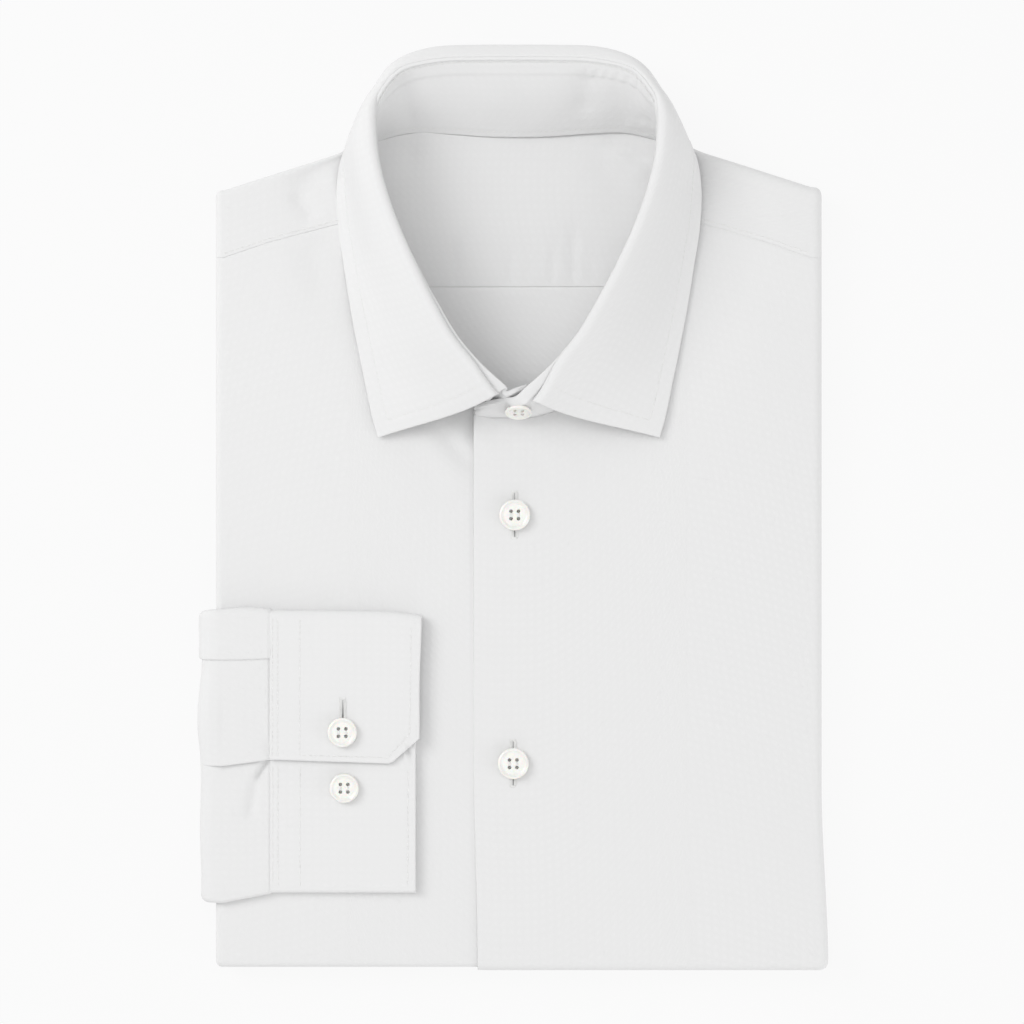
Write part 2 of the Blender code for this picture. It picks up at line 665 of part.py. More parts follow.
def leaf_line(i):
    """The leaf at one station: over the roll, then down to its outer edge."""
    station = STATIONS[i]
    last = len(STATIONS) - 1
    ox, oy = outward(i)
    tx, ty, tz = station["top"]
    if i == last:
        tx, ty, tz = (place + reach for place, reach in zip(station["top"], RIGHT_ROLL_REACH))
    edge = station["edge"]
    back = blend(BACK_FROM_Y, BACK_TO_Y, ty)
    from_front = min(i, last - i)
    step_out = ROLL_STEP_OUT * (1.0 - blend(*ROLL_STEP_STATIONS, from_front))
    tx += ox * step_out
    ty += oy * step_out
    level = math.hypot(edge[0] - tx, edge[1] - ty)
    straight_share = 1.0 - blend(0.0, STRAIGHT_STATIONS, from_front)
    dx = mix(ox, (edge[0] - tx) / level, straight_share)
    dy = mix(oy, (edge[1] - ty) / level, straight_share)
    size = math.hypot(dx, dy)
    dx /= size
    dy /= size
    lift = ROLL_LIFT + ROLL_STEP_LIFT * blend(0.0, 1.2, step_out)
    centre = (tx + dx * ROLL_RADIUS, ty + dy * ROLL_RADIUS, tz + lift)
    roll_end = mix(ROLL_END_FRONT, ROLL_END_BACK, back)
    line = []
    for step in range(ROLL_STEPS + 1):
        angle = math.radians(mix(180.0, roll_end, step / ROLL_STEPS))
        reach = ROLL_RADIUS * math.cos(angle)
        line.append((centre[0] + dx * reach, centre[1] + dy * reach,
                     centre[2] + ROLL_RADIUS * math.sin(angle)))
    start = line[-1]
    turn = math.radians(roll_end - 90.0)
    landing = math.radians(mix(LANDING_FRONT, LANDING_BACK, back))
    ex = edge[0] - start[0]
    ey = edge[1] - start[1]
    level = math.hypot(ex, ey)
    ux = mix(ex / level, ox, back)
    uy = mix(ey / level, oy, back)
    handle = FALL_HANDLE * math.dist(start, edge)
    first = (start[0] + dx * math.cos(turn) * handle, start[1] + dy * math.cos(turn) * handle,
             start[2] + math.sin(turn) * handle)
    second = (edge[0] - ux * math.cos(landing) * handle, edge[1] - uy * math.cos(landing) * handle,
              edge[2] - math.sin(landing) * handle)
    controls = (start, first, second, edge)
    for step in range(1, FALL_STEPS + 1):
        t = step / FALL_STEPS
        weights = ((1.0 - t) ** 3, 3.0 * t * (1.0 - t) ** 2, 3.0 * t * t * (1.0 - t), t ** 3)
        line.append(tuple(sum(w * c[axis] for w, c in zip(weights, controls)) for axis in range(3)))
    return line


def make_collar_leaf():
    rows = [leaf_line(i) for i in range(len(STATIONS))]
    cloth("collar_leaf", rows, LEAF_WALL, (CENTRE_X, NECK_MIDDLE_Y, 30.0), flip=False)


def wrap_section(top_y, bottom_y, over_end, under_end, over_height, under_height, pleat=None):
    """Section of a flattened sleeve end whose edges overlap on top, as (y, height, upper share)."""
    low_radius = under_height / 2.0
    high_radius = over_height / 2.0
    points = []
    for t in (0.0, 0.25, 0.6, 1.0):
        points.append((mix(under_end, bottom_y + low_radius, t), under_height, 0.0))
    for angle in (45.0, 90.0, 135.0, 180.0):
        turn = math.radians(angle)
        points.append((bottom_y + low_radius - low_radius * math.sin(turn),
                       low_radius + low_radius * math.cos(turn), 0.0))
    points.append((mix(bottom_y, top_y, 0.5), 0.0, 0.0))
    for angle in (180.0, 135.0, 90.0, 45.0, 0.0):
        turn = math.radians(angle)
        points.append((top_y - high_radius + high_radius * math.sin(turn),
                       high_radius + high_radius * math.cos(turn), 1.0 if angle < 100.0 else 0.0))
    start = top_y - high_radius
    if pleat is None:
        stops = [(mix(start, over_end, t), 0.0) for t in (0.3, 0.65, 1.0)]
    else:
        stops = [(PLEAT_Y + PLEAT_HALF, 0.0), (PLEAT_Y - PLEAT_HALF, -pleat),
                 (mix(PLEAT_Y, over_end, 0.5), -pleat), (over_end, -pleat)]
    for y, drop in stops:
        points.append((y, over_height + drop, 1.0))
    return points


# Cuff: a folded band with two layers of cloth, its buttoned edges overlapping on top
def make_cuff():
    rows = []
    for x in (CUFF_SEAM_X, *CUFF_STOPS, CUFF_EDGE_X):
        t = (x - CUFF_SEAM_X) / (CUFF_EDGE_X - CUFF_SEAM_X)
        chamfer = CUFF_CHAMFER * max(0.0, x - CUFF_CHAMFER_X) / (CUFF_EDGE_X - CUFF_CHAMFER_X)
        section = wrap_section(CUFF_TOP_Y + CUFF_TOP_SLOPE * t, CUFF_BOTTOM_Y,
                               CUFF_OVERLAP_Y + CUFF_OVERLAP_SLOPE * t + chamfer, CUFF_UNDERLAP_Y,
                               OVER_HEIGHT, UNDER_HEIGHT)
        row = []
        for y, height, upper in section:
            back = (CUFF_EDGE_X - CUFF_LOWER_EDGE_X) * (1.0 - upper) * t ** 4
            row.append((x - back, y, CUFF_BASE_Z + height))
        rows.append(row)
    cloth("cuff", rows, CUFF_WALL, (-68.0, -97.0, CUFF_BASE_Z), flip=False)


# Sleeve: comes out of the side fold, wraps over the packet's edge and ends in the cuff
def make_sleeve():
    bend_radius = (TOP_Z - GROOVE_Z) / 2.0 - PLY + GAP
    middle_z = CUFF_BASE_Z - bend_radius
    stops = [(CUFF_SEAM_X - GAP, None), (-107.0, None), (FLAT_LEFT_X, None)]
    stops += [(FLAT_LEFT_X, BEND_END * i / BEND_STEPS) for i in range(1, BEND_STEPS + 1)]
    rows = []
    for x, turn in stops:
        straight_share = (CUFF_SEAM_X - GAP - x) / (CUFF_SEAM_X - GAP - FLAT_LEFT_X)
        turned = 0.0 if turn is None else turn / BEND_END
        extra = BEND_EXTRA * blend(0.0, 0.6, turned) - (BEND_EXTRA + END_LESS) * blend(0.6, 1.0, turned)
        section = wrap_section(SLEEVE_TOP_Y, SLEEVE_BOTTOM_Y + SLEEVE_BOTTOM_SPREAD * straight_share,
                               SLIT_Y + SLIT_SLOPE * straight_share, SLEEVE_UNDERLAP_Y,
                               OVER_HEIGHT + extra, UNDER_HEIGHT + SLEEVE_UNDER_EXTRA + extra,
                               pleat=PLEAT_STEP)
        row = []
        for y, height, upper in section:
            if turn is None:
                row.append((x, y, CUFF_BASE_Z + height))
            else:
                angle = math.radians(turn)
                reach = bend_radius + height
                row.append((x - reach * math.sin(angle), y, middle_z + reach * math.cos(angle)))
        rows.append(row)
    cloth("sleeve", rows, SLEEVE_WALL, (-112.0, -99.0, CUFF_BASE_Z), flip=True)


# Buttons: turned, with a raised rim, a shallow dish and four thread holes
def make_button(name, radius, thick, x, y, z, tilt):
    profile = [
        (0.0, thick - BUTTON_DISH),
        (radius - BUTTON_RIM - BUTTON_SLOPE, thick - BUTTON_DISH),
        (radius - BUTTON_RIM, thick - BUTTON_CROWN),
        (radius - BUTTON_RIM / 2.0, thick),
        (radius, thick - BUTTON_BEVEL),
        (radius - BUTTON_BEVEL / 2.0, thick / 4.0),
        (radius - BUTTON_FOOT, 0.0),
        (0.0, 0.0),
    ]
    mesh = bpy.data.meshes.new(name)
    edges = [(i, i + 1) for i in range(len(profile) - 1)]
    mesh.from_pydata([(reach * MM, 0.0, level * MM) for reach, level in profile], edges, [])
    part = bpy.data.objects.new(name, mesh)
    part.location = (x * MM, y * MM, z * MM)
    part.rotation_euler = (math.radians(tilt), 0.0, 0.0)
    shirt.objects.link(part)
    turned = part.modifiers.new("turned", "SCREW")
    turned.axis = "Z"
    turned.steps = BUTTON_SIDES
    turned.render_steps = BUTTON_SIDES
    turned.use_merge_vertices = True
    turned.merge_threshold = 0.00001
    turned.use_smooth_shade = True
    turned.use_normal_calculate = True
    mesh.materials.append(finish_material(name, PEARL, PEARL_ROUGHNESS))
    for number in range(4):
        angle = math.radians(BUTTON_HOLE_START + 90.0 * number)
        bpy.ops.mesh.primitive_cylinder_add(vertices=HOLE_SIDES, radius=BUTTON_HOLE_RADIUS * MM,
                                            depth=4.0 * thick * MM)
        drill = bpy.context.object
        drill.name = "%s_drill_%d" % (name, number + 1)
        drill.parent = part
        drill.location = (BUTTON_HOLE_REACH * math.cos(angle) * MM,
                          BUTTON_HOLE_REACH * math.sin(angle) * MM, 0.0)
        drill.hide_render = True
        drill.display_type = "WIRE"
        for home in list(drill.users_collection):
            home.objects.unlink(drill)
        cutters.objects.link(drill)
        hole = part.modifiers.new("hole_%d" % (number + 1), "BOOLEAN")
        hole.operation = "DIFFERENCE"
        hole.solver = "EXACT"
        hole.object = drill


for thing in list(bpy.data.objects):
    bpy.data.objects.remove(thing, do_unlink=True)
shirt = bpy.data.collections.new("folded_dress_shirt")
cutters = bpy.data.collections.new("cutters")
bpy.context.scene.collection.children.link(shirt)
bpy.context.scene.collection.children.link(cutters)

make_folded_layers()
make_fronts()
make_yoke_outer()
make_neck_floor()
make_collar_stand()
make_collar_leaf()
make_cuff()
make_sleeve()
for button in BUTTONS:
    make_button(*button)
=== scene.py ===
"""Folded white dress shirt: the looks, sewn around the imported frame. Lengths are in millimetres."""
import json
import math

import bpy
import numpy as np
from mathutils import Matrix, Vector

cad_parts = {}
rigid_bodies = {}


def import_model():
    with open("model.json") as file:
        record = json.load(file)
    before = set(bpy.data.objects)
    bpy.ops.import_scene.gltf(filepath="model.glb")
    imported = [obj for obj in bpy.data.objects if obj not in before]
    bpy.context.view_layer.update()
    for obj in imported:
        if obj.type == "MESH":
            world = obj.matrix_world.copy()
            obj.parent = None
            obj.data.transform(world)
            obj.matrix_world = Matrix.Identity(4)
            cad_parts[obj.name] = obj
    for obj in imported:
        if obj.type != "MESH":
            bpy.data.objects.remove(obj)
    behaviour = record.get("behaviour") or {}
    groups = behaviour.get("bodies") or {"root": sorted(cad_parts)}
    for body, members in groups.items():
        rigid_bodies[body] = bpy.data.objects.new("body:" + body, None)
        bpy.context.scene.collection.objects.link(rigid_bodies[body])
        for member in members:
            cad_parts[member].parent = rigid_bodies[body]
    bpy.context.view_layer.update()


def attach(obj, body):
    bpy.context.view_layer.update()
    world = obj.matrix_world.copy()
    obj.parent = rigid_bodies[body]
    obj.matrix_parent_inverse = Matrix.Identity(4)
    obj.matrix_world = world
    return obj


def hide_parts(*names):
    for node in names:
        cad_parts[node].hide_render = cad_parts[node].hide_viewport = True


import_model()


# ---------------------------------------------------------------------------------------------
# Shirting
# White cotton poplin, woven with fine warp threads and slightly fuller weft threads, then
# bleached and pressed. It gives the eye a dry, even white with hardly any grain.

MM = 0.001
SLUBS_PER_METRE = 900.0
CLOUDS_PER_METRE = 14.0
# real threads lie 0.2 mm apart, finer than the picture shows, so the grain is drawn 3 mm wide and faint
GRAIN_MM = 3.1416
# one wave of the wave texture at scale 1
TEXTURE_WAVE = 2.0 * math.pi / 20.0


def linear(hex_colour):
    """sRGB hex string to a linear colour with alpha."""
    channels = [int(hex_colour[i:i + 2], 16) / 255.0 for i in (1, 3, 5)]
    return tuple(c / 12.92 if c <= 0.04045 else ((c + 0.055) / 1.055) ** 2.4 for c in channels) + (1.0,)


def node(tree, kind, settings=None, **links):
    """Adds a node; settings go on its properties or sockets, links join other sockets to its inputs."""
    made = tree.nodes.new(kind)

    def socket(key):
        return made.inputs[int(key[1:]) if key[1:].isdigit() else key.replace("_", " ")]

    for key, value in (settings or {}).items():
        if hasattr(made, key):
            setattr(made, key, value)
        else:
            socket(key).default_value = value
    for key, source in links.items():
        tree.links.new(source, socket(key))
    return made


def surface(name, **constants):
    """New material with its shader's own sockets set; gives the material, its nodes and the shader."""
    material = bpy.data.materials.new(name)
    material.use_nodes = True
    shader = material.node_tree.nodes["Principled BSDF"]
    for key, value in constants.items():
        shader.inputs[key.replace("_", " ")].default_value = value
    return material, material.node_tree, shader


def darker(colour, share):
    return tuple(c * share for c in colour[:3]) + (1.0,)


def cotton(name, colour, grain_mm, relief_mm, bump, roughness, sheen):
    """Woven cotton: crossing threads as bump from the cloth's own thread directions, and a faint slub."""
    material, tree, shader = surface(name, Roughness=roughness, Sheen_Weight=sheen, Sheen_Roughness=0.5,
                                     Specular_IOR_Level=0.25)
    # the UV map is in metres of cloth, across and along its threads
    threads = node(tree, "ShaderNodeUVMap", {"uv_map": "threads"}).outputs["UV"]
    scale = TEXTURE_WAVE / (grain_mm * MM)
    place = node(tree, "ShaderNodeMapping", {"Scale": (scale, scale * 0.92, 1.0)}, Vector=threads).outputs["Vector"]
    warp, weft = (node(tree, "ShaderNodeTexWave", {"bands_direction": way, "Scale": 1.0, "Distortion": 0.15,
                                                   "Detail": 1.0}, Vector=place).outputs["Fac"] for way in "XY")
    weave = node(tree, "ShaderNodeMath", {"operation": "MULTIPLY"}, _0=warp, _1=weft).outputs[0]
    coordinates = node(tree, "ShaderNodeTexCoord").outputs["Object"]
    slub = node(tree, "ShaderNodeTexNoise", {"Scale": SLUBS_PER_METRE, "Detail": 3.0, "Roughness": 0.6},
                Vector=coordinates).outputs["Fac"]
    cloud = node(tree, "ShaderNodeTexNoise", {"Scale": CLOUDS_PER_METRE, "Detail": 2.0},
                 Vector=coordinates).outputs["Fac"]
    height = node(tree, "ShaderNodeMath", {"operation": "ADD"}, _0=weave, _1=slub).outputs[0]
    relief = node(tree, "ShaderNodeBump", {"Strength": bump, "Distance": relief_mm * MM}, Height=height)
    tree.links.new(relief.outputs["Normal"], shader.inputs["Normal"])
    white = linear(colour)
    tone = node(tree, "ShaderNodeMix", {"data_type": "RGBA", "_6": darker(white, 0.965), "_7": white}, _0=cloud)
    grain = node(tree, "ShaderNodeMix", {"data_type": "RGBA", "_6": darker(white, 0.97)},
                 _0=weave, _7=tone.outputs[2])
    tree.links.new(grain.outputs[2], shader.inputs["Base Color"])
    return material


# the body cloth: matt, a touch of fuzz where light grazes it
POPLIN = cotton("bleached_poplin", "#E6E6E6", GRAIN_MM, 0.2, 0.22, 0.85, 0.08)
# the same cloth on fusible interlining, in the collar and cuff: a little flatter and crisper
FUSED_POPLIN = cotton("fused_poplin", "#E7E7E7", GRAIN_MM, 0.2, 0.16, 0.8, 0.08)


# ---------------------------------------------------------------------------------------------
# Packet of folded cloth
# The shirt is folded round its own back: sides and tail turned under, so the fronts lie as
# the top ply and roll over the long sides and the bottom. The hidden plies show at the edges.

CENTRE_X = 1.4
LEFT_X = -120.7
RIGHT_X = 123.3
RIGHT_FLARE = 2.7
FLARE_START_Y = -110.0
BOTTOM_Y = -185.2
TOP_Z = 16.0
GROOVE_Z = 7.0
PLY = 1.3
UNDER_FOLD_RADIUS = 3.5
UNDER_FOLD_Z = 3.8
HEM_TURN = 1.3
CORNER_POWER = 2.7
# pressed edges are squarer than a circle, whose power is 1
PRESSED = 0.85
NECK_DROP = 5.5
NECK_GROOVE_DROP = 3.0
SHOULDER_FOLD = ((0.0, 157.0), (30.0, 156.4), (48.0, 154.6), (60.0, 150.6), (71.0, 143.6), (122.0, 127.2))
FLAT_LEFT_X = LEFT_X + (TOP_Z - GROOVE_Z) / 2.0
FLAT_RIGHT_X = RIGHT_X - (TOP_Z - GROOVE_Z) / 2.0
FLAT_BOTTOM_Y = BOTTOM_Y + (TOP_Z - GROOVE_Z) / 2.0


def blend(low, high, value):
    """Smooth step from 0 at low to 1 at high; low may be the larger one."""
    t = max(0.0, min(1.0, (value - low) / (high - low)))
    return t * t * (3.0 - 2.0 * t)


def mix(first, second, t):
    return first + (second - first) * t


def mix_points(first, second, t):
    return tuple(mix(p, q, t) for p, q in zip(first, second))


def neck_share(x, y):
    """1 right behind the neck, 0 on the shoulders and the fronts."""
    return (1.0 - blend(62.0, 100.0, abs(x - CENTRE_X))) * blend(116.0, 150.0, y)


def groove(x, y):
    return GROOVE_Z - NECK_GROOVE_DROP * neck_share(x, y)


def edge_radius(x, y):
    return (TOP_Z - NECK_DROP * neck_share(x, y) - groove(x, y)) / 2.0


def fold_line(x):
    """Where the shoulder fold's outermost line lies."""
    reach = abs(x - CENTRE_X)
    for (p0, q0), (p1, q1) in zip(SHOULDER_FOLD, SHOULDER_FOLD[1:]):
        if reach <= p1:
            return mix(q0, q1, (reach - p0) / (p1 - p0))
    return SHOULDER_FOLD[-1][1]


def fold_y(x):
    """The fold line, rounded off where its straight stretches meet, inset to the flat top's edge."""
    outer = sum(fold_line(x + shift) for shift in (-5.0, -2.5, 0.0, 2.5, 5.0)) / 5.0
    return outer - edge_radius(x, outer)


def flare(y):
    return RIGHT_FLARE * blend(FLARE_START_Y, BOTTOM_Y, y)


def side_profile(level, radius, middle_z):
    """Reach and height on the rolled side edge: level is 0 on top, 1 at the outermost line, 2 below."""
    angle = math.radians(90.0 * level if level <= 1.0 else 90.0 + 75.0 * (level - 1.0))
    side, rise = math.sin(angle), math.cos(angle)
    return radius * side ** PRESSED, middle_z + radius * math.copysign(abs(rise) ** PRESSED, rise)


def hem_profile(level, radius, middle_z, depth):
    """The same over the bottom edge, where the tail's fold stands below the body's."""
    if level <= 1.0:
        return side_profile(level, radius, middle_z)
    turn = UNDER_FOLD_RADIUS - depth
    if level <= HEM_TURN:
        return radius, mix(middle_z, UNDER_FOLD_Z, (level - 1.0) / (HEM_TURN - 1.0))
    angle = math.radians(70.0) * (level - HEM_TURN) / (2.0 - HEM_TURN)
    return radius - turn + turn * math.cos(angle), UNDER_FOLD_Z - turn * math.sin(angle)


def packet(x, y, side, end, depth):
    """Point of a ply lying depth under the top one; side and end say how far it is over an edge."""
    full = edge_radius(x, y)
    radius = full - depth
    middle_z = groove(x, y) + full
    level = max(abs(side), abs(end))
    if level == 0.0:
        return x, y, middle_z + radius
    side_power = abs(side) ** CORNER_POWER
    end_power = abs(end) ** CORNER_POWER
    norm = (side_power + end_power) ** (1.0 / CORNER_POWER)
    hem_share = end_power / (side_power + end_power) if end < 0.0 else 0.0
    reach, z = mix_points(side_profile(level, radius, middle_z),
                          hem_profile(level, radius, middle_z, depth), hem_share)
    return x + reach * side / norm, y + reach * end / norm, z


def yoke_depth(x):
    return PLY * (1.0 - blend(-60.0, 60.0, x))


def steps(first, last, spacing):
    """Even stops from first to last, about spacing apart."""
    count = max(2, int(round(abs(last - first) / spacing)) + 1)
    return [mix(first, last, i / (count - 1)) for i in range(count)]


RIM = steps(0.0, 2.0, 0.11)[1:]


# ---------------------------------------------------------------------------------------------
# Collar line
# The collar stands on the neck seam: a band leaning in at the sides and back behind the neck.
# Rows: top edge of the band, neck seam, outer edge of the leaf, from the front to the back's middle.

HALF_COLLAR = (
    (4.2, 48.4, 32.0, 15.5, 40.3, 56.3, 28.0, 18.6),
    (13.6, 56.8, 35.0, 28.0, 48.5, 59.0, 37.8, 18.3),
    (23.2, 68.0, 37.0, 40.5, 60.5, 61.3, 49.0, 18.0),
    (31.3, 81.4, 38.3, 52.3, 73.5, 64.5, 64.5, 17.9),
    (39.5, 96.8, 38.5, 61.0, 89.0, 67.5, 80.5, 17.9),
    (46.2, 111.6, 38.0, 66.5, 105.0, 70.0, 96.5, 17.9),
    (51.3, 125.9, 37.5, 68.5, 120.5, 72.3, 111.5, 17.9),
    (54.6, 139.6, 37.0, 66.5, 133.8, 73.0, 126.5, 17.7),
    (55.6, 152.2, 36.0, 61.5, 142.6, 71.4, 139.2, 15.8),
    (55.0, 158.7, 35.3, 57.5, 146.0, 67.6, 147.4, 9.5),
    (52.8, 164.2, 34.5, 52.5, 148.2, 62.4, 153.6, 5.5),
    (45.0, 173.0, 32.5, 41.8, 150.2, 52.0, 164.0, 3.0),
    (30.4, 176.6, 31.0, 27.5, 149.7, 33.0, 169.0, 2.0),
    (14.5, 177.3, 30.3, 13.3, 148.7, 14.5, 170.3, 1.6),
    (0.0, 177.4, 30.0, 0.0, 148.4, 0.0, 170.5, 1.6),
)
TOP_MIDDLE_X = 1.0
SEAM_MIDDLE_X = 1.5
EDGE_MIDDLE_X = 1.9
NECK_POINT = 5.6
UP = np.array((0.0, 0.0, 1.0))
BACK = len(HALF_COLLAR) - 1
LAST = 2 * BACK


def collar_row(i):
    """Top, seam and leaf edge at a whole station; stations past the back's middle are on the right."""
    sign = -1.0 if i <= BACK else 1.0
    tx, ty, tz, nx, ny, ex, ey, ez = HALF_COLLAR[i if i <= BACK else LAST - i]
    # the left half lies close on the cloth below, the right half stands off it at the shoulder
    drop = 1.1 * (1.0 - blend(134.0, 166.0, ty)) if sign < 0.0 else 0.0
    drop += (2.1 if sign < 0.0 else -1.0) * blend(100.0, 125.0, ty) * (1.0 - blend(152.0, 166.0, ty))
    return ((TOP_MIDDLE_X + sign * tx, ty, tz), (SEAM_MIDDLE_X + sign * nx, ny, 0.0),
            (EDGE_MIDDLE_X + sign * ex, ey, ez - drop))


COLLAR = np.array([collar_row(i) for i in range(LAST + 1)])


def smooth_read(table, place):
    """Catmull-Rom reading of evenly numbered rows."""
    i = max(0, min(int(place), len(table) - 2))
    t = place - i
    p1, p2 = table[i], table[i + 1]
    p0 = table[i - 1] if i > 0 else 2.0 * p1 - p2
    p3 = table[i + 2] if i + 2 < len(table) else 2.0 * p2 - p1
    return 0.5 * (2.0 * p1 + (p2 - p0) * t + (2.0 * p0 - 5.0 * p1 + 4.0 * p2 - p3) * t * t
                  + (3.0 * p1 - p0 - 3.0 * p2 + p3) * t ** 3)


def collar_at(place):
    return smooth_read(COLLAR, place)


def outward(place):
    """Level direction away from the neck, square to the band's top edge."""
    before = collar_at(max(place - 0.15, 0.0))[0]
    after = collar_at(min(place + 0.15, LAST))[0]
    dx, dy = after[0] - before[0], after[1] - before[1]
    length = math.hypot(dx, dy)
    return -dy / length, dx / length


# ---------------------------------------------------------------------------------------------
# Fronts
# Two front pieces of poplin with plain turned front edges, the wearer's left one on top.
# They lie pressed and nearly flat, with a few soft pulls from the collar, and roll over the folds.

PLACKET_X = -16.2
UNDER_EDGE_X = 14.0
YOKE_SEAM_SIDE_Y = 100.2
LEFT_YOKE_SEAM = ((-66.6, 114.6), (-80.4, 111.0), (-98.0, 106.4))
RIGHT_YOKE_SEAM = ((69.4, 115.2), (84.0, 111.6), (102.0, 106.1))
# the fronts run this far under the yoke
SEAM_LAP = 0.35
FRONT_SHELL = 0.6
# creases: from x, y, to x, y, half width, height

LEFT_FRONT_CREASES = (
    (26.0, 30.0, 96.0, 8.0, 26.0, 0.35),
    (60.0, 26.0, 84.0, 70.0, 10.0, -0.35),
    (78.0, 96.0, 116.0, 82.0, 9.0, -0.25),
    (10.0, -60.0, 70.0, -80.0, 30.0, -0.3),
    (40.0, -150.0, 110.0, -130.0, 24.0, 0.3),
    (-6.0, 30.0, 18.0, 12.0, 4.0, -0.3),
)
RIGHT_FRONT_CREASES = (
    (-29.0, 31.5, -17.5, 16.0, 2.4, -0.9),
    (-38.0, 30.0, -21.0, 8.0, 4.5, 0.5),
    (-17.2, 39.0, -16.6, 27.0, 0.8, -1.3),
    (-82.0, 106.0, -76.0, 84.0, 5.0, -0.5),
    (-92.0, 104.0, -90.0, 78.0, 6.0, 0.3),
    (-100.0, 10.0, -40.0, 30.0, 26.0, 0.3),
    (-60.0, -30.0, -22.0, -14.0, 12.0, -0.3),
)


def edge_roll(distance, radius):
    """How far a folded edge drops at this distance from its line."""
    if distance >= radius:
        return 0.0
    return radius * (1.0 - math.sqrt(max(0.0, 1.0 - (1.0 - distance / radius) ** 2)))


def crease_height(creases, x, y):
    """Sum of listed soft troughs and ridges: each a line with a width, a height and faded ends."""
    total = 0.0
    for x0, y0, x1, y1, width, height in creases:
        dx, dy = x1 - x0, y1 - y0
        length = dx * dx + dy * dy
        t = ((x - x0) * dx + (y - y0) * dy) / length
        if t < -0.2 or t > 1.2:
            continue
        side = abs((x - x0) * dy - (y - y0) * dx) / math.sqrt(length)
        if side > 3.0 * width:
            continue
        fade = blend(-0.2, 0.25, t) * (1.0 - blend(0.75, 1.2, t))
        total += height * fade * math.exp(-(side / width) ** 2)
    return total


def sewn(name, mesh, material):
    """Object of a finished mesh, part of the shirt's one body of cloth."""
    mesh.materials.append(material)
    piece = bpy.data.objects.new(name, mesh)
    bpy.context.scene.collection.objects.link(piece)
    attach(piece, "root")
    return piece


def cloth_piece(name, rows, wall, material, nodes=(), flip=False, closed=False):
    """Smooth shell through rows of millimetre points, with thread directions as its UV map."""
    count = len(rows[0])
    grid = np.array(rows)
    along = np.zeros((len(rows), count))
    across = np.zeros((len(rows), count))
    along[1:] = np.cumsum(np.linalg.norm(np.diff(grid, axis=0), axis=2), axis=0)
    across[:, 1:] = np.cumsum(np.linalg.norm(np.diff(grid, axis=1), axis=2), axis=1)
    faces = []
    for i in range(len(rows) - 1):
        for j in range(count if closed else count - 1):
            k = (j + 1) % count
            face = (i * count + j, i * count + k, (i + 1) * count + k, (i + 1) * count + j)
            faces.append(face[::-1] if flip else face)
    mesh = bpy.data.meshes.new(name)
    mesh.from_pydata([tuple(p) for p in (grid.reshape(-1, 3) * MM)], [], faces)
    uv = mesh.uv_layers.new(name="threads")
    u, v = across.reshape(-1) * MM, along.reshape(-1) * MM
    index = np.zeros(len(mesh.loops), dtype=np.int32)
    mesh.loops.foreach_get("vertex_index", index)
    uv.data.foreach_set("uv", np.stack([u[index], v[index]], axis=1).reshape(-1))
    mesh.polygons.foreach_set("use_smooth", [True] * len(mesh.polygons))
    piece = sewn(name, mesh, material)
    if wall:
        shell = piece.modifiers.new("cloth", "SOLIDIFY")
        shell.thickness = wall * MM
        shell.offset = -1.0
        shell.use_rim = True
    if nodes:
        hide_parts(*nodes)
    return piece


def polyline(points, spacing):
    """Points along a line of straight stretches, about spacing apart."""
    made = []
    for first, last in zip(points, points[1:]):
        count = max(1, int(round(math.dist(first, last) / spacing)))
        made += [mix_points(first, last, i / count) for i in range(count)]
    return made + [tuple(points[-1])]


def slow_wave(x, y, seed):
    """Very broad unevenness of cloth that was pressed and handled once."""
    return 0.16 * (math.sin(x / 31.0 + seed) * math.sin(y / 43.0 + 1.7 * seed)
                   + 0.6 * math.sin((x + 0.6 * y) / 19.0 + 2.3 * seed))


def share_near(x):
    """1 beside the over front's edge, 0 a finger's width away."""
    return 1.0 - blend(PLACKET_X + 4.0, PLACKET_X + 10.0, x)


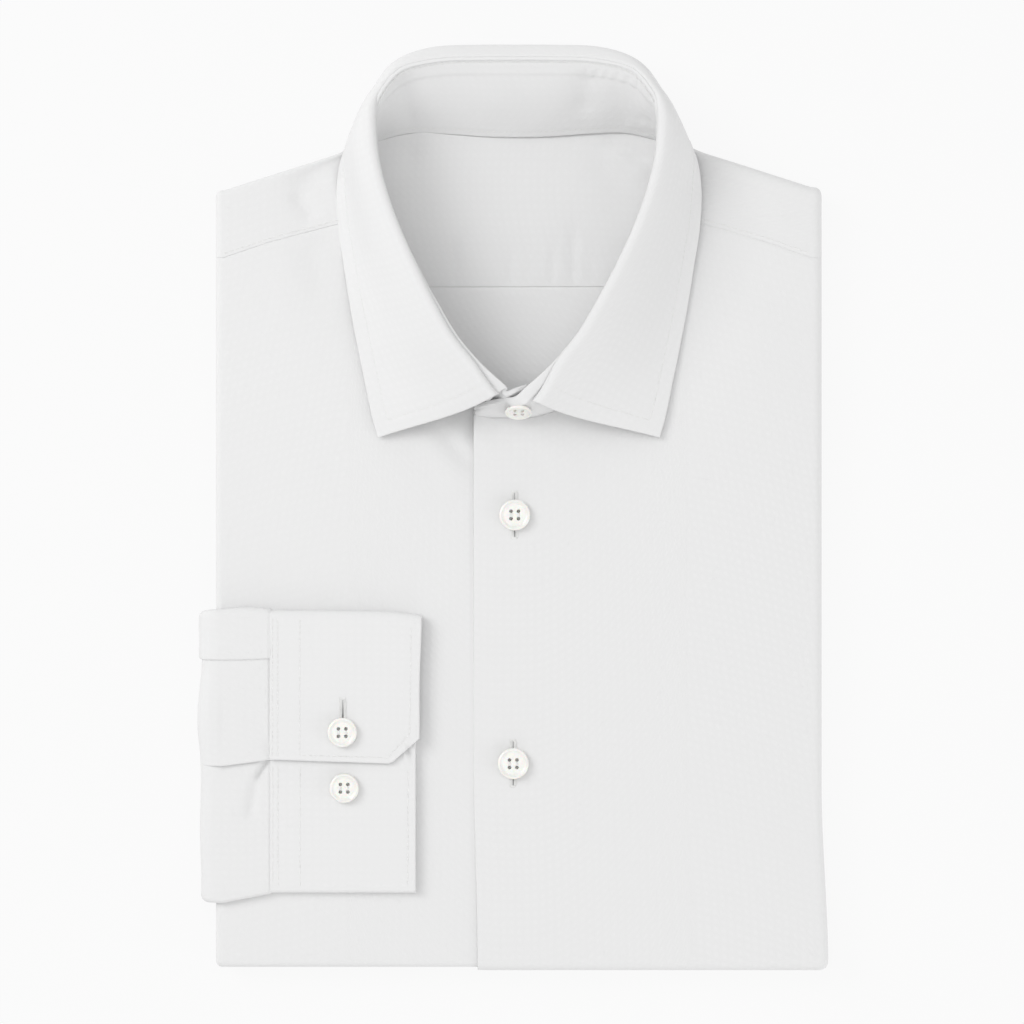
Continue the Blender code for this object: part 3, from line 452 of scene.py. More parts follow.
def front_piece(name, top_line, sign, depth, low_x, creases, seed, flip):
    """One front from its neck and shoulder seam to the bottom fold; sign is 1 for the over front."""
    flat_x = FLAT_RIGHT_X if sign > 0 else FLAT_LEFT_X
    top = polyline(top_line + [(flat_x, YOKE_SEAM_SIDE_Y + SEAM_LAP)], 2.2)
    edge_x = top[0][0]
    # extra columns close to the front edge, where the cloth is turned
    turned = [mix_points(top[0], top[1], d / 2.2) for d in (0.0, 0.1, 0.25, 0.5, 0.9, 1.4)]
    top = turned + top[1:]
    columns = [(x, y, (x - edge_x) / (flat_x - edge_x), 0.0) for x, y in top]
    columns += [(flat_x, YOKE_SEAM_SIDE_Y + SEAM_LAP, 1.0, sign * level) for level in RIM]
    lines = [(v, 0.0) for v in (0.0, 0.0005, 0.0012, 0.0025, 0.0045)]
    lines += [(v, 0.0) for v in steps(0.009, 1.0, 0.0085)] + [(1.0, -level) for level in RIM]
    rows = []
    for v, end in lines:
        row = []
        for top_x, top_y, share, side in columns:
            y = mix(top_y, FLAT_BOTTOM_Y, v)
            sway = 1.6 * blend(-100.0, -184.0, y) * (1.0 - share) if sign > 0 else 0.0
            x = mix(top_x, mix(low_x, flat_x, share), v) + sway
            if sign > 0:
                x += flare(y) * share
            px, py, pz = packet(x, y, side, end, depth)
            fade = 1.0 - min(1.0, max(abs(side), abs(end)))
            pz += fade * (crease_height(creases, px, py) + slow_wave(px, py, seed) * blend(0.0, 12.0, top_y - y))
            from_edge = abs(x - (edge_x + sway))
            pz -= edge_roll(from_edge, 0.55) + 0.3 * (1.0 - blend(0.15, 1.2, top_y - y))
            if sign > 0:
                low = 0.5 * (1.0 - blend(0.0, 7.0, from_edge))
                pz += mix(-low, 1.3 * (1.0 - blend(0.0, 9.0, from_edge)), blend(19.0, 33.0, y) * share_near(x))
            row.append((px, py, pz))
        rows.append(row)
    piece = cloth_piece(name, rows, FRONT_SHELL, POPLIN, (name.replace("_cloth", ""),), flip=flip)


def seam_points(first, last, spacing=0.2):
    """Neck seam in plan between two places on the collar line."""
    count = max(2, int(abs(last - first) / spacing))
    return [tuple(collar_at(mix(first, last, i / count))[1][:2]) for i in range(count + 1)]


def joined(neck, shoulder):
    """Neck seam followed by the shoulder seam, without the neck points that would double back."""
    first = shoulder[0]
    return [p for p in neck if abs(p[0] - CENTRE_X) < abs(first[0] - CENTRE_X) - 0.4] + shoulder


over_neck = [(PLACKET_X, 38.2), (-8.6, 37.2), (0.4, 37.2), (9.2, 37.6)]
over_neck += joined(seam_points(LAST, LAST - NECK_POINT), [(x, y + SEAM_LAP) for x, y in RIGHT_YOKE_SEAM])
front_piece("left_front_cloth", over_neck, 1, 0.0, PLACKET_X, LEFT_FRONT_CREASES, 0.7, True)
under_neck = [(UNDER_EDGE_X, 40.2), (3.6, 40.3), (-5.0, 39.8)]
under_neck += joined(seam_points(0.0, NECK_POINT), [(x, y + SEAM_LAP) for x, y in LEFT_YOKE_SEAM])
front_piece("right_front_cloth", under_neck, -1, PLY, UNDER_EDGE_X, RIGHT_FRONT_CREASES, 2.1, False)


# ---------------------------------------------------------------------------------------------
# Outer yoke
# A double shoulder piece of the same poplin. It is seamed to the fronts a little in front of
# the shoulders, rolls over the shoulder fold and passes behind the collar.

YOKE_CREASES = (
    (-67.0, 143.0, -87.5, 128.5, 4.0, -1.0),
    (-87.5, 126.0, -80.6, 115.2, 3.0, -1.3),
    (-72.0, 134.0, -75.0, 119.0, 5.0, 0.5),
    (82.0, 134.0, 96.0, 112.0, 6.0, -0.35),
    (100.0, 128.0, 112.0, 108.0, 7.0, 0.25),
)
seam_line = [(FLAT_LEFT_X, YOKE_SEAM_SIDE_Y)] + list(reversed(LEFT_YOKE_SEAM))
seam_line += seam_points(NECK_POINT + 0.25, LAST - NECK_POINT - 0.25) + list(RIGHT_YOKE_SEAM)
seam_line += [(FLAT_RIGHT_X, YOKE_SEAM_SIDE_Y)]
yoke_front = polyline(seam_line, 2.2)
yoke_columns = [(FLAT_LEFT_X, YOKE_SEAM_SIDE_Y, FLAT_LEFT_X, -level) for level in reversed(RIM)]
for number, (x, y) in enumerate(yoke_front):
    even = mix(FLAT_LEFT_X, FLAT_RIGHT_X, number / (len(yoke_front) - 1))
    near = blend(60.0, 74.0, abs(x - CENTRE_X))
    yoke_columns.append((x, y, mix(mix(even, x, 0.35), x, near * 0.6), 0.0))
yoke_columns += [(FLAT_RIGHT_X, YOKE_SEAM_SIDE_Y, FLAT_RIGHT_X, level) for level in RIM]
yoke_lines = [(v, 0.0) for v in [0.0, 0.006, 0.015, 0.035, 0.07] + steps(0.12, 1.0, 0.055)]
yoke_lines += [(1.0, level) for level in RIM]
yoke_rows = []
for v, end in yoke_lines:
    row = []
    for x0, y0, x1, side in yoke_columns:
        x, y = mix(x0, x1, v), mix(y0, fold_y(x1), v)
        px, py, pz = packet(x, y, side, end, yoke_depth(x))
        fade = 1.0 - min(1.0, max(abs(side), abs(end)))
        pz += fade * (crease_height(YOKE_CREASES, px, py) + slow_wave(px, py, 4.4) * blend(0.0, 8.0, y - y0))
        pz -= (0.22 if x < 0.0 else 0.06) * edge_roll(y - y0, 0.5)
        row.append((px, py, pz))
    yoke_rows.append(row)
outer_yoke = cloth_piece("yoke_outer_cloth", yoke_rows, FRONT_SHELL, POPLIN, ("yoke_outer",))


# ---------------------------------------------------------------------------------------------
# Inner yoke and back
# The floor of the neck opening: the inner yoke and, below its seam, the back piece. Both are
# plain poplin; the back is eased into the yoke seam, which leaves short upright puckers.

FLOOR_Z = 8.4
FLOOR_SHELL = 0.5
BACK_SEAM_Y = 88.6
# the middle of the hollow, which the neck seam runs round
HOLLOW_Y = 105.0
FLOOR_CREASES = (
    (24.0, 90.0, 23.6, 112.0, 2.2, -0.5),
    (15.8, 90.0, 15.4, 103.0, 1.7, -0.3),
    (-1.5, 90.0, -1.2, 103.0, 1.8, -0.3),
    (5.6, 90.0, 5.7, 98.0, 1.5, -0.2),
    (-24.0, 90.0, -23.8, 106.0, 2.6, -0.65),
    (31.0, 90.0, 31.2, 99.0, 1.6, -0.22),
    (36.0, 148.0, 53.0, 139.5, 2.2, -0.9),
    (38.0, 143.5, 54.0, 133.0, 3.2, 0.7),
    (34.0, 140.0, 46.0, 118.0, 6.0, -0.5),
    (-58.0, 146.0, -38.0, 143.0, 7.0, -1.3),
    (-2.0, 88.0, 30.0, 70.0, 9.0, 0.3),
)


def coons(low, high, left, right, s, v):
    """Point of a patch between four boundary lines."""
    across = mix_points(low(s), high(s), v)
    along = mix_points(left(v), right(v), s)
    corners = mix_points(mix_points(low(0.0), low(1.0), s), mix_points(high(0.0), high(1.0), s), v)
    return tuple(p + q - r for p, q, r in zip(across, along, corners))


def from_hollow(x, y, further):
    """The same place this much further from the hollow's middle."""
    keep = 1.0 + further / math.hypot(x - CENTRE_X, y - HOLLOW_Y)
    return CENTRE_X + (x - CENTRE_X) * keep, HOLLOW_Y + (y - HOLLOW_Y) * keep


def floor_line(first, last):
    """Neck seam between two stations, run a little under the band."""
    def read(t):
        x, y, _ = collar_at(mix(first, last, t))[1]
        return from_hollow(x, y, 0.5)
    return read


def straight(first, last):
    def read(t):
        return mix_points(first, last, t)
    return read


def floor_piece(name, low, high, left, right, rise, nodes):
    rows = []
    for v in [0.0, 0.004, 0.012, 0.03] + steps(0.06, 0.94, 0.03) + [0.97, 0.988, 0.996, 1.0]:
        row = []
        for s in steps(0.0, 1.0, 0.008):
            x, y = coons(low, high, left, right, s, v)
            z = FLOOR_Z + rise * (2.6 * abs(2.0 * s - 1.0) ** 5 * v + 2.3 * v ** 5)
            z += 1.2 * blend(-6.0, 40.0, x) * (1.0 - rise * v ** 5)
            z += crease_height(FLOOR_CREASES, x, y)
            seam = y - BACK_SEAM_Y
            z -= 0.14 * edge_roll(seam, 0.35) if rise else 0.26 * (1.0 - blend(-0.5, 0.8, -seam))
            row.append((x, y, z))
        rows.append(row)
    piece = cloth_piece(name, rows, FLOOR_SHELL, POPLIN, nodes)


left_side, right_side = floor_line(4.0, 7.6), floor_line(LAST - 4.0, LAST - 7.6)
floor_piece("yoke_inner_cloth",
            straight((left_side(0.0)[0], BACK_SEAM_Y), (right_side(0.0)[0], BACK_SEAM_Y)),
            floor_line(7.6, LAST - 7.6), left_side, right_side, 1.0, ("yoke_inner",))
left_side, right_side = floor_line(0.0, 4.0), floor_line(LAST, LAST - 4.0)
floor_piece("back_panel_cloth", straight(left_side(0.0), right_side(0.0)),
            straight((left_side(1.0)[0], BACK_SEAM_Y + 0.5), (right_side(1.0)[0], BACK_SEAM_Y + 0.5)),
            left_side, right_side, 0.0, ("back_panel",))


# ---------------------------------------------------------------------------------------------
# Collar stand
# A fused band, sewn on the neck seam. Its buttonhole tab lies over the button tab at the
# front. Its inner face shows in the neck opening, with two rows of stitching.

STAND_WALL = 1.3
STRIP_WIDTH = 4.2
RIM_WIDTH = 0.75
RIM_FALL = 0.75
# how far from its top the band's inner face is read
BELOW_TOP = (8.6, 8.0, 7.4, 6.8, 6.4, 6.0, 5.6, 5.0, 4.3, 3.4, 2.5, 2.0, 1.6, 1.3, 1.0, 0.7)
# the tabs' ends: top x, y, z, then seam x, y
UNDER_TAB = ((5.4, 49.2, 27.5, 6.2, 41.2), (1.2, 47.9, 29.3, 2.0, 40.6), (-2.9, 46.5, 30.4, -5.2, 39.8))
OVER_TAB = ((-16.0, 41.2, 20.5, -16.0, 38.2), (-13.6, 41.9, 23.6, -13.6, 37.6), (-8.6, 43.0, 26.6, -8.6, 37.2),
            (-3.8, 43.8, 28.4, -2.8, 37.2), (0.6, 44.4, 29.8, 6.2, 37.3))


def strip_width(place):
    """How much of the band's top shows inside the leaf: a strip at the front, a rim at the back."""
    from_front = min(place, LAST - place)
    front = STRIP_WIDTH * (1.0 - blend(0.0, 1.5, from_front))
    left = 1.1 * blend(0.3, 1.5, place) * (1.0 - blend(2.2, 4.6, place))
    return front + left + RIM_WIDTH * blend(8.2, 10.2, from_front)


def seam_depth(place):
    """How deep under the top ply the neck seam lies."""
    if place < NECK_POINT:
        return PLY
    if place > LAST - NECK_POINT:
        return 0.0
    return yoke_depth(collar_at(place)[1][0])


def stand_stations():
    """Seam point and top point all round, tabs included."""
    ring = []
    for tx, ty, tz, nx, ny in UNDER_TAB:
        ring.append(((nx, ny, packet(nx, ny, 0.0, 0.0, PLY)[2] + 0.1), (tx, ty, tz)))
    for i in range(LAST + 1):
        top, seam, _ = collar_row(i)
        z = packet(seam[0], seam[1], 0.0, 0.0, seam_depth(float(i)))[2] + 0.1
        ox, oy = outward(float(i))
        lean = ((top[0] - seam[0]) * ox + (top[1] - seam[1]) * oy) / math.dist((*seam[:2], z), top)
        ring.append(((seam[0], seam[1], z + STAND_WALL * max(0.0, lean)), top))
    for tx, ty, tz, nx, ny in reversed(OVER_TAB):
        ring.append(((nx, ny, packet(nx, ny, 0.0, 0.0, 0.0)[2] + 0.1), (tx, ty, tz)))
    return np.array(ring)


STAND = stand_stations()
STAND_FIRST = len(UNDER_TAB)
STAND_END = len(STAND) - 1.0
OVER_FIRST = len(STAND) - len(OVER_TAB)
# pulls in the band's inner face: place, share of the height, place, share, width, height
STAND_CREASES = (
    (17.4, 0.27, 18.3, 0.40, 0.07, -0.9),
    (17.2, 0.17, 18.0, 0.28, 0.08, 0.5),
    (15.9, 0.30, 15.9, 0.85, 0.36, -1.2),
    (11.0, 0.10, 11.1, 0.90, 0.32, -1.5),
    (13.4, 0.30, 13.5, 0.90, 0.40, 0.4),
)
RIPPLE_SPAN = (15.5, 17.8)


def stand_out(place):
    """Level direction away from the neck at a place on the band."""
    before = smooth_read(STAND, max(place - 0.15, 0.0))[1]
    after = smooth_read(STAND, min(place + 0.15, STAND_END))[1]
    dx, dy = after[0] - before[0], after[1] - before[1]
    length = math.hypot(dx, dy)
    return np.array((-dy / length, dx / length, 0.0))


def stand_point(place, t):
    """Inner face of the band: place counts the stations with the tabs, t goes from seam to top."""
    low, high = smooth_read(STAND, place)
    point = low + (high - low) * t
    station = place - STAND_FIRST
    point[2] += 1.6 * math.sin(math.pi * t) + crease_height(STAND_CREASES, station, t)
    from_top = (1.0 - t) * float(np.linalg.norm(high - low))
    # the turned allowance pads the top five millimetres and ripples where the neck is tightest
    window = blend(1.8, 3.6, from_top) * (1.0 - blend(4.8, 7.6, from_top))
    ripple = 0.0
    if RIPPLE_SPAN[0] < station < RIPPLE_SPAN[1]:
        fade = blend(RIPPLE_SPAN[0], 16.0, station) * (1.0 - blend(17.2, RIPPLE_SPAN[1], station))
        ripple = 0.3 * fade * math.sin(station * 21.0 + 0.9 * math.sin(station * 5.0)) * window
    pad = 0.55 * (1.0 - blend(5.0, 7.4, from_top)) * blend(0.0, 3.0, min(station, LAST - station))
    groove = 0.06 * math.exp(-((from_top - 1.3) / 0.35) ** 2)
    from_seam = t * float(np.linalg.norm(high - low))
    groove += 0.14 * math.exp(-((from_seam - 2.4) / 0.4) ** 2)
    return point - stand_out(place) * (pad + ripple - groove)


def stand_grid():
    """Sections of the band all round: inner face, flat top, outer face, closed at the tabs' ends."""
    rows = []
    rippled = [STAND_FIRST + edge for edge in RIPPLE_SPAN]
    places = [0.0, 0.02, 0.06] + steps(0.12, rippled[0], 0.07) + steps(rippled[0], rippled[1], 0.03)[1:]
    places += steps(rippled[1], STAND_END - 0.12, 0.07)[1:] + [STAND_END - 0.06, STAND_END - 0.02, STAND_END]
    for place in places:
        low, high = smooth_read(STAND, place)
        out = stand_out(place)
        height = float(np.linalg.norm(high - low))
        width = max(STAND_WALL, strip_width(min(max(place - STAND_FIRST, 0.0), LAST)) + 0.7)
        if place < STAND_FIRST or place > OVER_FIRST:
            past = STAND_FIRST - place if place < STAND_FIRST else place - OVER_FIRST
            width = mix(width, 2.0, blend(0.0, 1.0, past))
        closing = min(1.0, min(place, STAND_END - place) / 0.12)
        closing = math.sqrt(max(0.0, 1.0 - (1.0 - closing) ** 2))
        row = []
        inner = [0.0, 0.02, 0.045, 0.07, 0.09, 0.11, 0.14] + steps(0.19, 0.72, 0.06)
        inner += [1.0 - distance / height for distance in BELOW_TOP]
        for t in sorted(inner):
            row.append(stand_point(place, t))
        for angle in steps(172.0, 8.0, 16.4):
            turn = math.radians(angle)
            flat_top = RIM_FALL * math.sin(turn) ** 0.45 - RIM_FALL
            row.append(high + out * (width / 2.0 + width / 2.0 * math.cos(turn)) + np.array((0.0, 0.0, flat_top)))
        for t in (0.95, 0.85, 0.7, 0.5, 0.3, 0.12, 0.0):
            wide = mix(STAND_WALL, width, t)
            bulge = 1.6 * math.sin(math.pi * t) - 0.8 * t
            row.append(low + (high - low) * t + out * wide + np.array((0.0, 0.0, bulge)))
        middle = low * 0.5 + high * 0.5 + out * 0.6
        rows.append([mix(middle, p, closing) if closing < 1.0 else p for p in row])
    return rows


stand = cloth_piece("collar_stand_cloth", stand_grid(), 0.0, FUSED_POPLIN, ("collar_stand",), closed=True, flip=True)


# ---------------------------------------------------------------------------------------------
# Collar leaf
# Two layers of poplin round a fused interlining, turned and topstitched. It rolls over the
# band and falls to a crisp edge; its two points lie on the fronts.

ROLL_RADIUS = 2.4
BACK_ROLL_RADIUS = 1.3
ROLL_LIFT = 0.5
LEAF_WALL = 1.0
LEAF_STITCH = 6.0
# the right-hand end of the roll reaches further forward than the left one
COLLAR[LAST][0] += (-1.1, -3.15, -1.0)


def leaf_controls(place):
    """Roll centre, outward direction, roll end angle and radius, and the fall's four control points."""
    top, _, edge = collar_at(place)
    ox, oy = outward(place)
    back = blend(134.0, 166.0, top[1])
    from_front = min(place, LAST - place)
    rim = blend(8.2, 10.2, from_front)
    inner = top + strip_width(place) * np.array((ox, oy, 0.0))
    ex, ey = edge[0] - inner[0], edge[1] - inner[1]
    level = math.hypot(ex, ey)
    turned = 0.68 * (1.0 - blend(0.0, 3.5, from_front))
    dx, dy = mix(ox, ex / level, turned), mix(oy, ey / level, turned)
    size = math.hypot(dx, dy)
    way = np.array((dx / size, dy / size, 0.0))
    radius = mix(ROLL_RADIUS, BACK_ROLL_RADIUS, rim)
    centre = inner + radius * way + np.array((0.0, 0.0, mix(ROLL_LIFT, -1.45, rim)))
    roll_end = mix(62.0, 58.0, back)
    turn = math.radians(roll_end)
    start = centre + radius * (way * math.cos(turn) + UP * math.sin(turn))
    heading = math.radians(mix(roll_end - 90.0, -23.0, back))
    landing = math.radians(mix(-14.0, -112.0, back))
    ex, ey = edge[0] - start[0], edge[1] - start[1]
    level = max(math.hypot(ex, ey), 0.001)
    ux, uy = mix(ex / level, ox, back), mix(ey / level, oy, back)
    corner = blend(6.6, 8.8, from_front) * (1.0 - blend(10.2, 12.0, from_front))
    handle = mix(mix(0.36, 0.42, back), 0.17, corner) * math.dist(start, edge)
    first = start + handle * (way * math.cos(heading) + UP * math.sin(heading))
    second = np.array(edge) - handle * np.array((ux * math.cos(landing), uy * math.cos(landing),
                                                 math.sin(landing)))
    return centre, way, roll_end, radius, (start, first, second, np.array(edge))


def bezier(controls, t):
    weights = ((1.0 - t) ** 3, 3.0 * t * (1.0 - t) ** 2, 3.0 * t * t * (1.0 - t), t ** 3)
    return sum(w * c for w, c in zip(weights, controls))


class LeafRib:
    """One cross-section of the leaf, read by the distance from its outer edge."""
    def __init__(self, place):
        self.centre, self.way, self.roll_end, self.radius, self.controls = leaf_controls(place)
        self.roll_start = mix(180.0, 122.0, blend(8.2, 10.2, min(place, LAST - place)))
        self.shares = np.linspace(0.0, 1.0, 41)
        points = np.array([bezier(self.controls, t) for t in self.shares])
        ways = np.concatenate([[0.0], np.cumsum(np.linalg.norm(np.diff(points, axis=0), axis=1))])
        self.from_edge = ways[-1] - ways
        self.length = float(ways[-1])

    def roll(self, share):
        """1 at the roll's start on the band, 0 where the fall begins."""
        angle = math.radians(mix(self.roll_end, self.roll_start, share))
        return self.centre + self.radius * (self.way * math.cos(angle) + UP * math.sin(angle))

    def fall(self, from_edge):
        return bezier(self.controls, float(np.interp(from_edge, self.from_edge[::-1], self.shares[::-1])))


# further from an edge than its stitching reaches
FAR = 50.0
EDGE_STOPS = (0.0, 0.08, 0.2, 0.4, 0.7, 1.2, 2.0, 3.0, 4.2, 5.0, 5.4, 5.7, 5.9, 6.1, 6.3, 6.6, 7.0, 7.8)
FRONT_SPACING = 11.0
LEAF_CREASES = (
    (-58.0, 84.0, -50.0, 62.0, 6.0, 0.25),
    (-40.0, 60.0, -58.0, 30.0, 9.0, -0.25),
    (64.0, 96.0, 60.0, 60.0, 8.0, -0.25),
    (20.0, 46.0, 52.0, 34.0, 7.0, 0.2),
)


def leaf_drop(from_edge, from_front):
    """Rounded edges and the shallow groove that the topstitching draws."""
    near = min(from_edge, from_front)
    return edge_roll(near, 0.55) + 0.06 * math.exp(-((near - LEAF_STITCH) / 0.45) ** 2) \
        - 0.07 * blend(0.5, 2.5, near) * (1.0 - blend(4.0, 5.8, near))


def leaf_grid():
    rows = []
    fronts = [d / FRONT_SPACING for d in EDGE_STOPS]
    places = fronts + steps(fronts[-1] + 0.09, LAST - fronts[-1] - 0.09, 0.09)
    places += [LAST - f for f in reversed(fronts)]
    for place in places:
        rib = LeafRib(place)
        from_front = min(place, LAST - place) * FRONT_SPACING
        row = []
        for share in steps(1.0, 0.0, 0.1)[:-1]:
            row.append(rib.roll(share) - UP * leaf_drop(FAR, from_front))
        falls = steps(rib.length, EDGE_STOPS[-1], (rib.length - EDGE_STOPS[-1]) / 24.0)[:-1]
        for distance in falls + list(reversed(EDGE_STOPS)):
            point = rib.fall(distance)
            lift = crease_height(LEAF_CREASES, point[0], point[1]) * blend(0.0, 8.0, distance)
            row.append(point + UP * (lift - leaf_drop(distance, from_front)))
        rows.append(row)
    return rows


leaf = cloth_piece("collar_leaf_cloth", leaf_grid(), LEAF_WALL, FUSED_POPLIN, ("collar_leaf",), flip=True)


# ---------------------------------------------------------------------------------------------
# Cuff and sleeve end
# The sleeve's end is a flattened tube that comes round the packet's left side. The fused cuff
# is sewn to it; slit and cuff edges overlap on top, and one pleat takes in the sleeve's fullness.

CUFF_SEAM_X = -97.4
CUFF_LENGTH = 59.8
CUFF_BOTTOM_Y = -153.7
BASE_Z = TOP_Z - PLY + 0.3
CUFF_WALL = 1.2
OVER_HEIGHT = 5.4
UNDER_HEIGHT = 3.5


def wrap_section(top_y, bottom_y, over_end, under_end, over_height, under_height, drop_at, pleat_y=None):
    """Section of the flattened tube from the hidden end to the top edge: (y, height, upper share)."""
    low, high = under_height / 2.0, over_height / 2.0
    points = [(mix(under_end, bottom_y + low, t), under_height, 0.0) for t in steps(0.0, 1.0, 0.02)]
    for angle in steps(15.0, 165.0, 15.0):
        turn = math.radians(angle)
        points.append((bottom_y + low - low * math.sin(turn), low + low * math.cos(turn), 0.0))
    points += [(mix(bottom_y + low, top_y - high, t), 0.0, 0.0) for t in steps(0.0, 1.0, 0.05)]
    for angle in steps(165.0, 15.0, 15.0):
        turn = math.radians(angle)
        points.append((top_y - high + high * math.sin(turn), high + high * math.cos(turn),
                       1.0 if angle < 100.0 else 0.0))
    start = top_y - high
    run = [mix(start, over_end, t) for t in steps(0.0, 1.0, 0.02)][:-1]
    run += [over_end + d for d in (1.2, 0.8, 0.45, 0.2, 0.06, 0.0)]
    if pleat_y is not None:
        run += [pleat_y + d for d in (1.6, 1.0, 0.6, 0.35, 0.18, 0.06, 0.0, -0.04, -0.1, -0.3, -0.8, -1.4)]
    run.sort(reverse=True)
    points += [(y, over_height - drop_at(y) - edge_roll(y - over_end, 0.6), 1.0) for y in run]
    return points


def no_pleat(y):
    return 0.0


CUFF_CREASES = (
    (-70.0, -46.0, -66.0, -60.0, 8.0, 0.2),
    (-42.8, -94.2, -38.6, -102.0, 0.8, -0.9),
    (-44.0, -93.5, -41.5, -101.0, 1.0, 0.35),
    (-92.0, -104.0, -80.0, -110.0, 5.0, -0.25),
    (-90.0, -120.0, -74.0, -112.0, 7.0, -0.2),
)


def cuff_rows():
    rows = []
    stops = [0.0, 0.15, 0.4, 0.8, 1.4] + steps(2.4, 50.4, 1.5) + steps(51.0, 57.8, 0.6)
    stops += [58.4, 59.0, 59.4, 59.65, CUFF_LENGTH]
    for distance in stops:
        x = CUFF_SEAM_X + distance
        t = distance / CUFF_LENGTH
        over_end = -100.4 - 2.0 * t + 10.5 * max(0.0, x + 49.2) / 11.6
        top_y = -40.8 - 0.3 * t - 1.7 * t ** 6
        section = wrap_section(top_y, CUFF_BOTTOM_Y, over_end, -86.0, OVER_HEIGHT, UNDER_HEIGHT, no_pleat)
        row = []
        for y, height, upper in section:
            back = 1.6 * (1.0 - upper) * t ** 4
            roll = edge_roll(CUFF_LENGTH - distance, 0.6) + 0.3 * edge_roll(distance, 0.7)
            z = BASE_Z + height
            if height > 2.0:
                z += crease_height(CUFF_CREASES, x, y) - roll
            elif height < 0.1:
                z += roll
            splay = 0.8 * blend(-72.0, -44.0, y) * t ** 3 * upper
            row.append((x - back + splay, y, z))
        rows.append(row)
    return rows


cuff = cloth_piece("cuff_cloth", cuff_rows(), CUFF_WALL, FUSED_POPLIN, ("cuff",))

PLEAT_Y = -60.6
SLEEVE_CREASES = (
    (-98.2, -101.0, -102.8, -108.5, 1.4, -2.4),
    (-102.8, -108.0, -105.6, -124.0, 2.4, -1.4),
    (-110.0, -106.0, -113.0, -134.0, 5.0, 0.2),
    (-98.6, -62.0, -103.5, -68.0, 1.4, -0.2),
    (-103.0, -84.0, -99.0, -99.0, 2.8, -0.3),
    (-99.0, -92.0, -98.0, -99.5, 1.3, -0.4),
)


def sleeve_rows():
    bend_radius = (TOP_Z - GROOVE_Z) / 2.0 - PLY + 0.3
    middle_z = BASE_Z - bend_radius
    seam_x = CUFF_SEAM_X - 0.15
    near = [seam_x + d for d in (0.7, 0.3, 0.05, -0.1, -0.3, -0.6, -1.0)]
    stops = [(x, None) for x in near + steps(seam_x - 1.6, FLAT_LEFT_X, 0.9)]
    stops += [(FLAT_LEFT_X, turn) for turn in steps(0.0, 150.0, 6.0)[1:]]
    rows = []
    for x, turn in stops:
        straight_share = (seam_x - x) / (seam_x - FLAT_LEFT_X)
        turned = 0.0 if turn is None else turn / 150.0
        extra = 0.8 * blend(0.0, 0.6, turned) - 2.1 * blend(0.6, 1.0, turned)
        pleat_y = PLEAT_Y + 0.6 * (1.0 - straight_share) ** 2

        def pleat_drop(y):
            if y >= pleat_y:
                return edge_roll(y - pleat_y, 0.6) - 0.25 * math.exp(-((y - pleat_y - 3.0) / 3.0) ** 2)
            return 0.95 - 0.3 * blend(pleat_y, pleat_y - 12.0, y)

        bottom = -154.2 - 3.6 * straight_share
        hump = math.sin(math.pi * min(1.0, 0.12 + 0.75 * max(0.0, straight_share)))
        top_y = -40.9 + 1.3 * hump - 1.9 * turned ** 2
        section = wrap_section(top_y, bottom, -100.6 - 2.4 * straight_share, -88.0,
                               OVER_HEIGHT + 0.3 + extra, UNDER_HEIGHT + extra + 1.6 * blend(0.0, 0.5, turned),
                               pleat_drop, pleat_y)
        row = []
        for y, height, upper in section:
            if height > 2.0:
                height += crease_height(SLEEVE_CREASES, x - 9.0 * turned, y) * (1.0 - turned)
                from_seam = seam_x - x
                height -= 0.3 * (1.0 - blend(-0.05, 0.8, from_seam)) + 0.35 * (1.0 - blend(-0.8, -0.02, from_seam))
                height += 0.35 * math.sin(y / 7.0 + 1.0) * turned * (1.0 - turned) * 3.0
            puff = 1.6 * math.exp(-((y + 84.0) / 15.0) ** 2) * math.sin(math.pi * min(1.0, turned * 1.4))
            if turn is None:
                row.append((x, y, BASE_Z + height))
            else:
                angle = math.radians(turn)
                reach = bend_radius + height + puff
                row.append((FLAT_LEFT_X - reach * math.sin(angle), y, middle_z + reach * math.cos(angle)))
        rows.append(row)
    return rows


sleeve = cloth_piece("sleeve_cloth", sleeve_rows(), 0.6, POPLIN, ("sleeve",), flip=True)


# ---------------------------------------------------------------------------------------------
# Hidden plies
# What is folded away: the sides, the back, the other sleeve and the tail. Only their folded
# edges show, stacked under the top ply, and the turned-under cloth on the underside.

# how far the tail's fold stands back from the body's
TAIL_BACK = {"left": 6.5, "right": 2.4, "top": 3.0}
CORNER_STEPS = 7
UNDER_SHELL = 0.4


def corner_stops(x, y, side, end, from_side):
    """Stops round one corner, from a side to an end or back; side and end are the levels there."""
    made = []
    for k in range(1, CORNER_STEPS):
        leaving, coming = min(1.0, 2.0 - 2.0 * k / CORNER_STEPS), min(1.0, 2.0 * k / CORNER_STEPS)
        if from_side:
            made.append((x, y, side * leaving, end * coming))
        else:
            made.append((x, y, side * coming, end * leaving))
    return made


